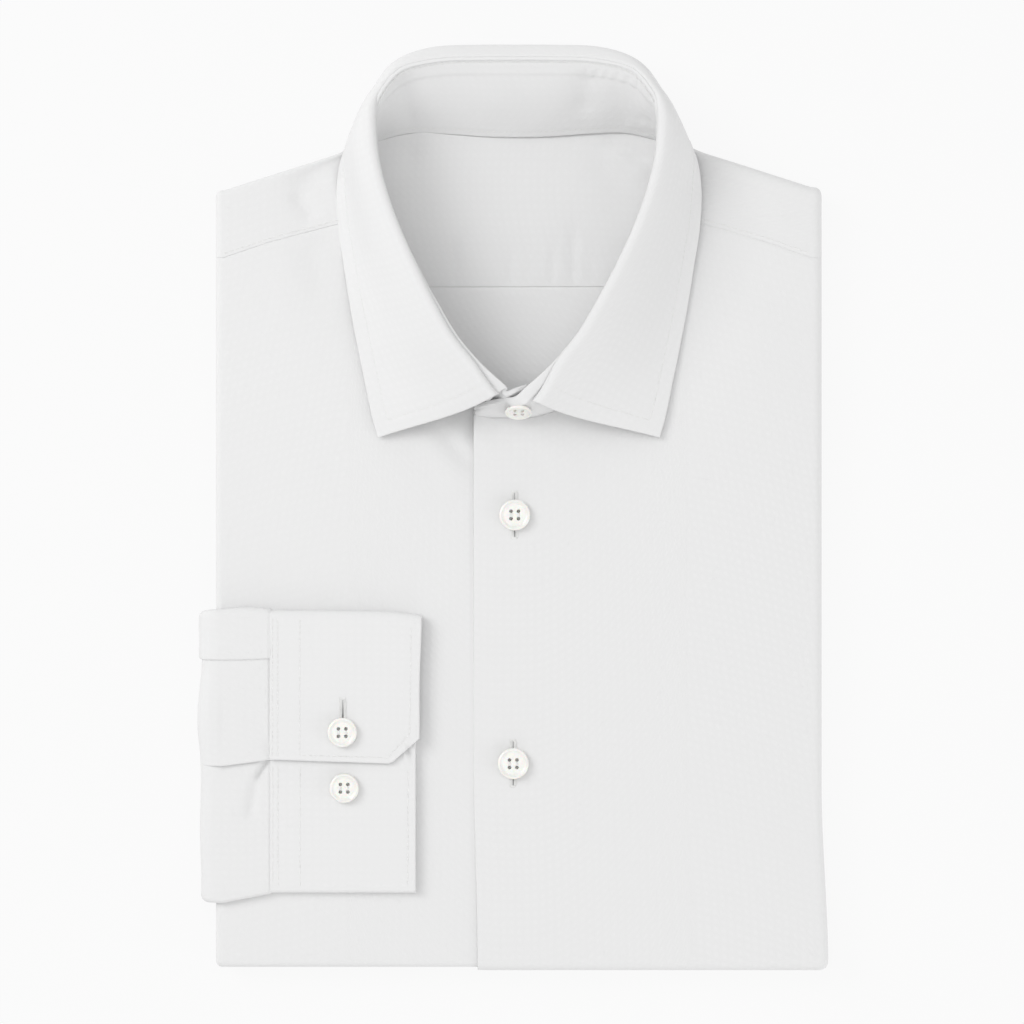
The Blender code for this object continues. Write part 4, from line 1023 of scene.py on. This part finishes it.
def ring_stops(level):
    """Once round the packet: flat place and how far each point is over a side or an end."""
    left_y, right_y = fold_y(FLAT_LEFT_X), fold_y(FLAT_RIGHT_X)
    stops = [(FLAT_LEFT_X, y, -level, 0.0) for y in steps(FLAT_BOTTOM_Y, left_y, 6.0)]
    stops += corner_stops(FLAT_LEFT_X, left_y, -level, level, True)
    stops += [(x, fold_y(x), 0.0, level) for x in steps(FLAT_LEFT_X, FLAT_RIGHT_X, 4.0)]
    stops += corner_stops(FLAT_RIGHT_X, right_y, level, level, False)
    stops += [(FLAT_RIGHT_X, y, level, 0.0) for y in steps(right_y, FLAT_BOTTOM_Y, 6.0)]
    stops += corner_stops(FLAT_RIGHT_X, FLAT_BOTTOM_Y, level, -level, True)
    stops += [(x, FLAT_BOTTOM_Y, 0.0, -level) for x in steps(FLAT_RIGHT_X, FLAT_LEFT_X, 4.0)]
    stops += corner_stops(FLAT_LEFT_X, FLAT_BOTTOM_Y, -level, -level, False)
    return stops


def layer_point(x, y, side, end, level):
    """Point of the hidden plies' edge: level 0 to 2 is the body's fold, 2 to 3 the tail's."""
    full = edge_radius(x, y)
    depth = 2.0 * PLY + 0.3 if x < 0.0 else PLY + 0.3
    radius = full - depth
    middle_z = groove(x, y) + full
    side_power, end_power = abs(side) ** CORNER_POWER, abs(end) ** CORNER_POWER
    norm = (side_power + end_power) ** (1.0 / CORNER_POWER)
    share = end_power / (side_power + end_power)
    hem_share = share if end < 0.0 else 0.0
    if level <= 2.0:
        rounded = side_profile(level, radius, middle_z)
        straight_down = hem_profile(level, radius, middle_z, depth)
    else:
        back = TAIL_BACK["left"] if side < 0.0 else TAIL_BACK["right"]
        back = mix(back, TAIL_BACK["top"], share if end > 0.0 else 0.0)
        half = (groove(x, y) - 0.6) / 2.0
        angle = math.radians(mix(20.0, 180.0, level - 2.0))
        plies = 0.35 * abs(math.sin(math.radians(mix(0.0, 540.0, level - 2.0))))
        rounded = (full - half - back + (half - 0.2) * math.sin(angle) + plies, half + half * math.cos(angle))
        straight_down = mix_points(hem_profile(2.0, radius, middle_z, depth),
                                   (full - UNDER_FOLD_RADIUS - 1.1, 0.0), level - 2.0)
    reach, z = mix_points(rounded, straight_down, hem_share)
    reach -= 0.8 * blend(0.9, 1.5, level)
    return x + reach * side / norm, y + reach * end / norm, z


def sign_of(value):
    return (value > 0.0) - (value < 0.0)


layer_rows = []
for inset in (14.0, 7.0, 2.0):
    layer_rows.append([(x - inset * sign_of(side), y - inset * sign_of(end),
                        packet(x, y, 0.0, 0.0, 2.0 * PLY + 0.4)[2]) for x, y, side, end in ring_stops(1.0)])
for level in steps(0.1, 2.0, 0.14) + steps(2.04, 3.0, 0.05):
    layer_rows.append([layer_point(x, y, side, end, level) for x, y, side, end in ring_stops(level)])
edge_plies = cloth_piece("folded_layers_cloth", layer_rows, 0.0, POPLIN, ("folded_layers",), closed=True)


def under_sheet(name, x0, x1, y0, y1, z):
    """A flat turned-under ply on the underside, slightly uneven."""
    rows = [[(x, y, z + 0.12 * math.sin(x / 17.0) * math.sin(y / 23.0) ** 2) for x in steps(x0, x1, 5.0)]
            for y in steps(y0, y1, 5.0)]
    piece = cloth_piece(name, rows, UNDER_SHELL, POPLIN, flip=True)


under_sheet("under_back_cloth", -110.0, 117.0, -179.0, 122.0, 0.95)
under_sheet("under_tail_cloth", -104.0, 112.0, -178.0, 40.0, 0.35)


# ---------------------------------------------------------------------------------------------
# Wall of the neck opening
# Under the neck seam the inside of the fronts and the yoke falls to the back piece; it is the
# same poplin and closes the opening all round.

wall_rows = []
for t in steps(0.0, 1.0, 0.1):
    row = []
    for place in steps(0.0, float(LAST), 0.12):
        _, seam, _ = collar_at(place)
        high = packet(seam[0], seam[1], 0.0, 0.0, seam_depth(place))[2] - 0.3
        row.append((*from_hollow(seam[0], seam[1], mix(0.3, -0.1, t)), mix(high, FLOOR_Z - 0.6, t)))
    wall_rows.append(row)
neck_wall = cloth_piece("neck_wall_cloth", wall_rows, 0.0, POPLIN)


# ---------------------------------------------------------------------------------------------
# Stitching
# White polyester-cotton thread, about four to five stitches a centimetre here. Each stitch is
# a short rounded bar sunk a little in the cloth.

TWISTS_PER_METRE = 4000.0


def spun_thread():
    material, tree, shader = surface("spun_polyester_thread", Roughness=0.6)
    coordinates = node(tree, "ShaderNodeTexCoord").outputs["Object"]
    twist = node(tree, "ShaderNodeTexNoise", {"Scale": TWISTS_PER_METRE, "Detail": 1.0},
                 Vector=coordinates).outputs["Fac"]
    tone = node(tree, "ShaderNodeMix", {"data_type": "RGBA", "_6": linear("#DEDEDD"), "_7": linear("#EDEDEC")},
                _0=twist)
    tree.links.new(tone.outputs[2], shader.inputs["Base Color"])
    relief = node(tree, "ShaderNodeBump", {"Strength": 0.3, "Distance": 0.1 * MM}, Height=twist)
    tree.links.new(relief.outputs["Normal"], shader.inputs["Normal"])
    return material


# a slightly brighter and smoother white than the cloth, broken by its twist
THREAD = spun_thread()
STITCH_PITCH = 2.3
STITCH_LENGTH = 1.75
THREAD_RADIUS = 0.17


def stitch_mesh(name, lines, radius=THREAD_RADIUS, pitch=STITCH_PITCH, length=STITCH_LENGTH, sink=0.03):
    """One mesh of stitches along lines of (point, up) pairs given in millimetres."""
    profile = ((-0.5, 0.0), (-0.42, 0.7), (-0.2, 1.0), (0.2, 1.0), (0.42, 0.7), (0.5, 0.0))
    sides = 6
    vertices, faces = [], []
    for line in lines:
        points = np.array([p for p, _ in line])
        ups = np.array([u for _, u in line])
        ways = np.concatenate([[0.0], np.cumsum(np.linalg.norm(np.diff(points, axis=0), axis=1))])
        for number in range(int(ways[-1] / pitch)):
            middle = (number + 0.5) * pitch
            ends = [np.array([np.interp(middle + s * length / 2.0, ways, points[:, k]) for k in range(3)])
                    for s in (-1.0, 1.0)]
            up = np.array([np.interp(middle, ways, ups[:, k]) for k in range(3)])
            along = ends[1] - ends[0]
            size = np.linalg.norm(along)
            if size < 0.2:
                continue
            along /= size
            side = np.cross(along, up)
            side /= np.linalg.norm(side)
            up = np.cross(side, along)
            centre = (ends[0] + ends[1]) / 2.0 + up * (radius * 0.35 - sink)
            base = len(vertices)
            for way, share in profile:
                for k in range(sides):
                    angle = 2.0 * math.pi * k / sides
                    vertices.append(centre + along * way * size + radius * max(share, 0.05)
                                    * (side * math.cos(angle) + up * math.sin(angle)))
            for i in range(len(profile) - 1):
                for k in range(sides):
                    n = (k + 1) % sides
                    faces.append((base + i * sides + k, base + i * sides + n,
                                  base + (i + 1) * sides + n, base + (i + 1) * sides + k))
    mesh = bpy.data.meshes.new(name)
    mesh.from_pydata([tuple(v * MM) for v in vertices], [], faces)
    mesh.polygons.foreach_set("use_smooth", [True] * len(mesh.polygons))
    sewn(name, mesh, THREAD)


# collar leaf: one row all round, 6 mm inside its edges
front_place = LEAF_STITCH / FRONT_SPACING
outer_row = [(place, LEAF_STITCH) for place in steps(front_place, LAST - front_place, 0.1)]


def leaf_row(stops):
    """Points and normals of the leaf at a list of (place, distance from its outer edge)."""
    line = []
    for place, distance in stops:
        rib = LeafRib(place)
        point = rib.fall(distance)
        along = rib.fall(max(distance - 0.4, 0.0)) - rib.fall(distance + 0.4)
        across = LeafRib(place + 0.04).fall(distance) - point
        up = np.cross(across, along)
        up /= np.linalg.norm(up)
        lift = crease_height(LEAF_CREASES, point[0], point[1])
        line.append((point - UP * leaf_drop(LEAF_STITCH, FAR) + UP * lift, up))
    return line


leaf_stitch_lines = [leaf_row(outer_row)]
for place in (front_place, LAST - front_place):
    length = LeafRib(place).length
    leaf_stitch_lines.append(leaf_row([(place, d) for d in steps(LEAF_STITCH, length - 0.5, 1.0)]))
stitch_mesh("collar_leaf_stitches", leaf_stitch_lines, radius=0.14)

# stand: one row above the neck seam and one under the top edge, on the inner face
stand_stitch_lines = []
for places, distance, from_seam in ((steps(1.2, STAND_END - 0.6, 0.1), 2.4, True),
                                    (steps(12.0, STAND_END - 14.0, 0.1), 0.3, False)):
    line = []
    for place in places:
        low, high = smooth_read(STAND, place)
        t = distance / float(np.linalg.norm(high - low))
        t = t if from_seam else 1.0 - t
        point = stand_point(place, t)
        across = stand_point(place + 0.03, t) - point
        along = stand_point(place, t + 0.02) - point
        up = np.cross(along, across)
        line.append((point, up / np.linalg.norm(up)))
    stand_stitch_lines.append(line)
stitch_mesh("collar_stand_stitches", stand_stitch_lines)

# yoke seams, on the yoke's side
yoke_stitch_lines = []
for seam in (LEFT_YOKE_SEAM[::-1], RIGHT_YOKE_SEAM):
    line = polyline([(x, y + 1.5) for x, y in seam], 2.0)
    if seam[0][0] < 0:
        line = [(FLAT_LEFT_X, YOKE_SEAM_SIDE_Y + 1.5)] + line
    else:
        line = line + [(FLAT_RIGHT_X, YOKE_SEAM_SIDE_Y + 1.5)]
    yoke_stitch_lines.append([(np.array(packet(x, y, 0.0, 0.0, yoke_depth(x)))
                               + UP * crease_height(YOKE_CREASES, x, y), UP) for x, y in line])
stitch_mesh("yoke_stitches", yoke_stitch_lines)


def cuff_row(points, z):
    return [(np.array((x, y, z + crease_height(CUFF_CREASES, x, y))), UP) for x, y in polyline(points, 2.0)]


# cuff: two rows beside the sleeve seam, a third 12 mm in, and one along the edge of each ply
over_z = BASE_Z + OVER_HEIGHT
under_z = BASE_Z + UNDER_HEIGHT
cuff_stitch_lines = [cuff_row([(x, -44.0), (x, end_y)], over_z)
                     for x, end_y in ((-96.3, -99.2), (-94.2, -99.2), (-85.4, -99.5))]
cuff_stitch_lines += [cuff_row([(x, -103.0), (x, -151.5)], under_z) for x in (-96.3, -94.2, -85.4)]
cuff_stitch_lines.append(cuff_row([(-84.5, -98.6), (-50.4, -99.6), (-41.6, -90.2), (-41.0, -46.0)], over_z))
cuff_stitch_lines.append(cuff_row([(-42.2, -104.5), (-42.4, -151.5)], under_z))
stitch_mesh("cuff_stitches", cuff_stitch_lines)


# ---------------------------------------------------------------------------------------------
# Buttonholes
# Worked slits: dense zigzag thread on both lips and a bar at each end.

# the cut between the lips: a dark grey of painted shadow, standing in for the shade in the gap between the lips
PAINTED_SLIT_SHADOW = cotton("painted_slit_shadow", "#6F6F70", 1.885, 0.12, 0.3, 0.95, 0.0)
ZIGZAG_PITCH = 0.42
LIP_IN, LIP_OUT = 0.2, 1.6
BAR_HALF = 1.5


def buttonhole(name, x, y, z, length):
    """Bars, lips and slit of one worked hole along y, round its middle; the slit is a flat dark sheet of painted
    shadow.
    """
    half = length / 2.0

    def at(dx, dy):
        return np.array((x + dx, y + dy, z))

    count = int(length / ZIGZAG_PITCH)
    lips, bars = [], []
    for sign in (-1.0, 1.0):
        for k in range(count):
            dy = mix(-half, half, (k + 0.5) / count)
            lips.append([(at(sign * LIP_IN, dy), UP), (at(sign * LIP_OUT, dy), UP)])
    for sign in (-1.0, 1.0):
        for k in range(3):
            dy = sign * (half + 0.15 + 0.3 * k)
            bars.append([(at(-BAR_HALF, dy), UP), (at(BAR_HALF, dy), UP)])
    stitch_mesh(name, bars, radius=0.2, pitch=2.75, length=2.75)
    stitch_mesh(name + "_lips", lips, radius=0.22, pitch=1.38, length=1.38)
    # the slit: a flat dark sheet just above the cloth, painted shadow in place of the shade in the gap
    corners = [(-0.12, -half), (0.12, -half), (0.24, 0.0), (0.06, half), (-0.06, half), (-0.24, 0.0)]
    mesh = bpy.data.meshes.new(name + "_slit_painted_shadow")
    mesh.from_pydata([tuple((at(dx, dy) + UP * 0.1) * MM) for dx, dy in corners], [], [tuple(range(6))])
    sewn(name + "_slit_painted_shadow", mesh, PAINTED_SLIT_SHADOW)


def over_front_z(x, y):
    """Height of the over front's face."""
    return TOP_Z + crease_height(LEFT_FRONT_CREASES, x, y) + slow_wave(x, y, 0.7)


BUTTON_1_Z = over_front_z(0.3, -2.8)
BUTTON_2_Z = over_front_z(-0.3, -102.1)
buttonhole("front_buttonhole_1", 0.3, -2.8, BUTTON_1_Z, 17.6)
buttonhole("front_buttonhole_2", -0.3, -102.1, BUTTON_2_Z, 17.6)
buttonhole("cuff_buttonhole", -68.2, -83.5, over_z, 14.0)


# ---------------------------------------------------------------------------------------------
# Buttons
# Four-hole shirt buttons turned from pearly polyester: a round rim, a shallow dish and a
# pair of thread bars. The thread holds them just off the cloth.

SWIRLS_PER_METRE = 160.0


def pearly():
    material, tree, shader = surface("pearly_polyester", Roughness=0.28, Coat_Weight=0.35, Coat_Roughness=0.12,
                                     Subsurface_Weight=0.15, Subsurface_Scale=MM)
    coordinates = node(tree, "ShaderNodeTexCoord").outputs["Object"]
    swirl = node(tree, "ShaderNodeTexNoise", {"Scale": SWIRLS_PER_METRE, "Detail": 3.0, "Distortion": 1.6},
                 Vector=coordinates).outputs["Fac"]
    tone = node(tree, "ShaderNodeMix", {"data_type": "RGBA", "_6": linear("#E6E5DF"), "_7": linear("#F8F8F5")},
                _0=swirl)
    tree.links.new(tone.outputs[2], shader.inputs["Base Color"])
    return material


# warm milky white with soft swirls and a small clear highlight
PEARL = pearly()
HOLE_REACH = 2.1
HOLE_RADIUS = 0.72
DISH = 0.5
RIM_ROUND = 0.75


def button(name, radius, at, tilt, node_name, thick=2.4):
    """Turned ring surface with four drilled holes, as one mesh of rings and hole walls."""
    dish_edge, rim_edge = radius - 1.95, radius - 1.05
    dish_z = thick - DISH
    profile = [(0.001, dish_z)]
    profile += [(r, dish_z - 0.05 * (1.0 - (r / 3.0) ** 2)) for r in steps(0.4, dish_edge, 0.4)]
    profile += [(mix(dish_edge, rim_edge, t), dish_z + (DISH - 0.12) * blend(0.0, 1.0, t))
                for t in steps(0.15, 1.0, 0.14)]
    profile += [(radius - RIM_ROUND + RIM_ROUND * math.cos(a), thick - RIM_ROUND + RIM_ROUND * math.sin(a))
                for a in steps(2.0, -0.4, 0.2)]
    profile += [(radius - 0.25, 0.9), (radius - 0.8, 0.4), (radius - 1.8, 0.05), (0.001, 0.0)]
    sides = 72
    vertices, faces = [], []
    for r, z in profile:
        for k in range(sides):
            angle = 2.0 * math.pi * k / sides
            vertices.append((r * math.cos(angle) * MM, r * math.sin(angle) * MM, z * MM))
    for i in range(len(profile) - 1):
        for k in range(sides):
            n = (k + 1) % sides
            faces.append((i * sides + k, (i + 1) * sides + k, (i + 1) * sides + n, i * sides + n))
    mesh = bpy.data.meshes.new(name)
    mesh.from_pydata(vertices, [], faces)
    mesh.polygons.foreach_set("use_smooth", [True] * len(mesh.polygons))
    mesh.materials.append(PEARL)
    piece = bpy.data.objects.new(name, mesh)
    piece.location = [v * MM for v in at]
    piece.rotation_euler = (math.radians(tilt), 0.0, 0.0)
    bpy.context.scene.collection.objects.link(piece)
    weld = piece.modifiers.new("weld", "WELD")
    weld.merge_threshold = 0.00001
    for k in range(4):
        angle = math.radians(45.0 + 90.0 * k)
        bpy.ops.mesh.primitive_cylinder_add(vertices=24, radius=HOLE_RADIUS * MM, depth=8.0 * MM)
        drill = bpy.context.object
        drill.name = "%s_drill_%d" % (name, k)
        drill.parent = piece
        drill.location = (HOLE_REACH * math.cos(angle) * MM, HOLE_REACH * math.sin(angle) * MM, 0.0)
        hole = piece.modifiers.new("hole", "BOOLEAN")
        hole.operation = "DIFFERENCE"
        hole.solver = "EXACT"
        hole.object = drill
    bpy.context.view_layer.update()
    drilled = bpy.data.meshes.new_from_object(piece.evaluated_get(bpy.context.evaluated_depsgraph_get()))
    piece.modifiers.clear()
    for drill in list(piece.children):
        bpy.data.objects.remove(drill, do_unlink=True)
    piece.data = drilled
    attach(piece, "root")
    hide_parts(node_name)
    # thread: a bar through each pair of holes, standing a little proud of the dish
    rotation = piece.rotation_euler.to_matrix()
    lines = []
    for sign in (-1.0, 1.0):
        for shift in (-0.22, 0.0, 0.22):
            ends = [Vector((sign * 1.48 + shift, way * 0.95, dish_z + 0.05)) for way in (-1.0, 1.0)]
            ends = [rotation @ p + Vector(at) for p in ends]
            lines.append([(np.array(p), np.array(rotation @ Vector((0.0, 0.0, 1.0)))) for p in ends])
    stitch_mesh(name + "_thread", lines, radius=0.16, pitch=1.85, length=1.85, sink=0.0)


button("front_button_1_pearl", 6.2, (0.3, -2.8, BUTTON_1_Z + 0.4), 0.0, "button_front_1")
button("front_button_2_pearl", 6.2, (-0.3, -102.1, BUTTON_2_Z + 0.4), 0.0, "button_front_2")
button("cuff_button_1_pearl", 5.85, (-68.4, -89.4, over_z + 0.3), 0.0, "cuff_button_1")
button("cuff_button_2_pearl", 5.85, (-67.7, -111.7, under_z + 0.3), 0.0, "cuff_button_2")
button("collar_button_pearl", 5.4, (1.8, 39.0, 25.4), 63.0, "button_collar", thick=1.9)


# ---------------------------------------------------------------------------------------------
# Studio
# A white table seen from straight above. A soft light stands on the left, weaker ones on the
# right and at the foot, a wide one hangs overhead, and even white light comes from all round.

TABLE_HALF = 3000.0 * MM
CAMERA_HEIGHT = 1551.0
CAMERA_X, CAMERA_Y = -0.8, -1.6
table_mesh = bpy.data.meshes.new("table_top")
table_mesh.from_pydata([(-TABLE_HALF, -TABLE_HALF, 0.0), (TABLE_HALF, -TABLE_HALF, 0.0),
                        (TABLE_HALF, TABLE_HALF, 0.0), (-TABLE_HALF, TABLE_HALF, 0.0)], [], [(0, 1, 2, 3)])
table = bpy.data.objects.new("table_top", table_mesh)
bpy.context.scene.collection.objects.link(table)
# an even, shadowless white that only darkens softly right beside the cloth
laminate, _, _ = surface("matt_white_laminate", Base_Color=linear("#4B4B4B"), Roughness=1.0,
                         Specular_IOR_Level=0.0, Emission_Color=linear("#FFFFFF"), Emission_Strength=0.885)
table_mesh.materials.append(laminate)


def softbox(name, at, size, watts):
    """Square light at a place in metres, aimed at the shirt."""
    light = bpy.data.lights.new(name, "AREA")
    light.shape = "SQUARE"
    light.size = size
    light.energy = watts
    lamp = bpy.data.objects.new(name, light)
    lamp.location = at
    lamp.rotation_euler = (-Vector(at)).to_track_quat("-Z", "Y").to_euler()
    bpy.context.scene.collection.objects.link(lamp)


softbox("key_softbox", (-1.15, 0.6, 1.1), 0.8, 9.6)
softbox("fill_softbox", (1.15, -0.55, 0.38), 0.6, 3.2)
softbox("front_softbox", (0.1, -1.4, 0.5), 0.6, 1.8)
softbox("top_softbox", (-0.3, 0.3, 2.4), 2.0, 10.0)
world = bpy.data.worlds.new("studio_walls")
world.use_nodes = True
world.node_tree.nodes["Background"].inputs["Color"].default_value = linear("#FFFFFF")
world.node_tree.nodes["Background"].inputs["Strength"].default_value = 0.665
bpy.context.scene.world = world
bpy.context.scene.view_settings.view_transform = "Standard"

camera_data = bpy.data.cameras.new("camera")
camera_data.lens = 135.0
camera_data.sensor_width = 36.0
camera = bpy.data.objects.new("camera", camera_data)
camera.location = (CAMERA_X * MM, CAMERA_Y * MM, CAMERA_HEIGHT * MM)
bpy.context.scene.collection.objects.link(camera)
bpy.context.scene.camera = camera
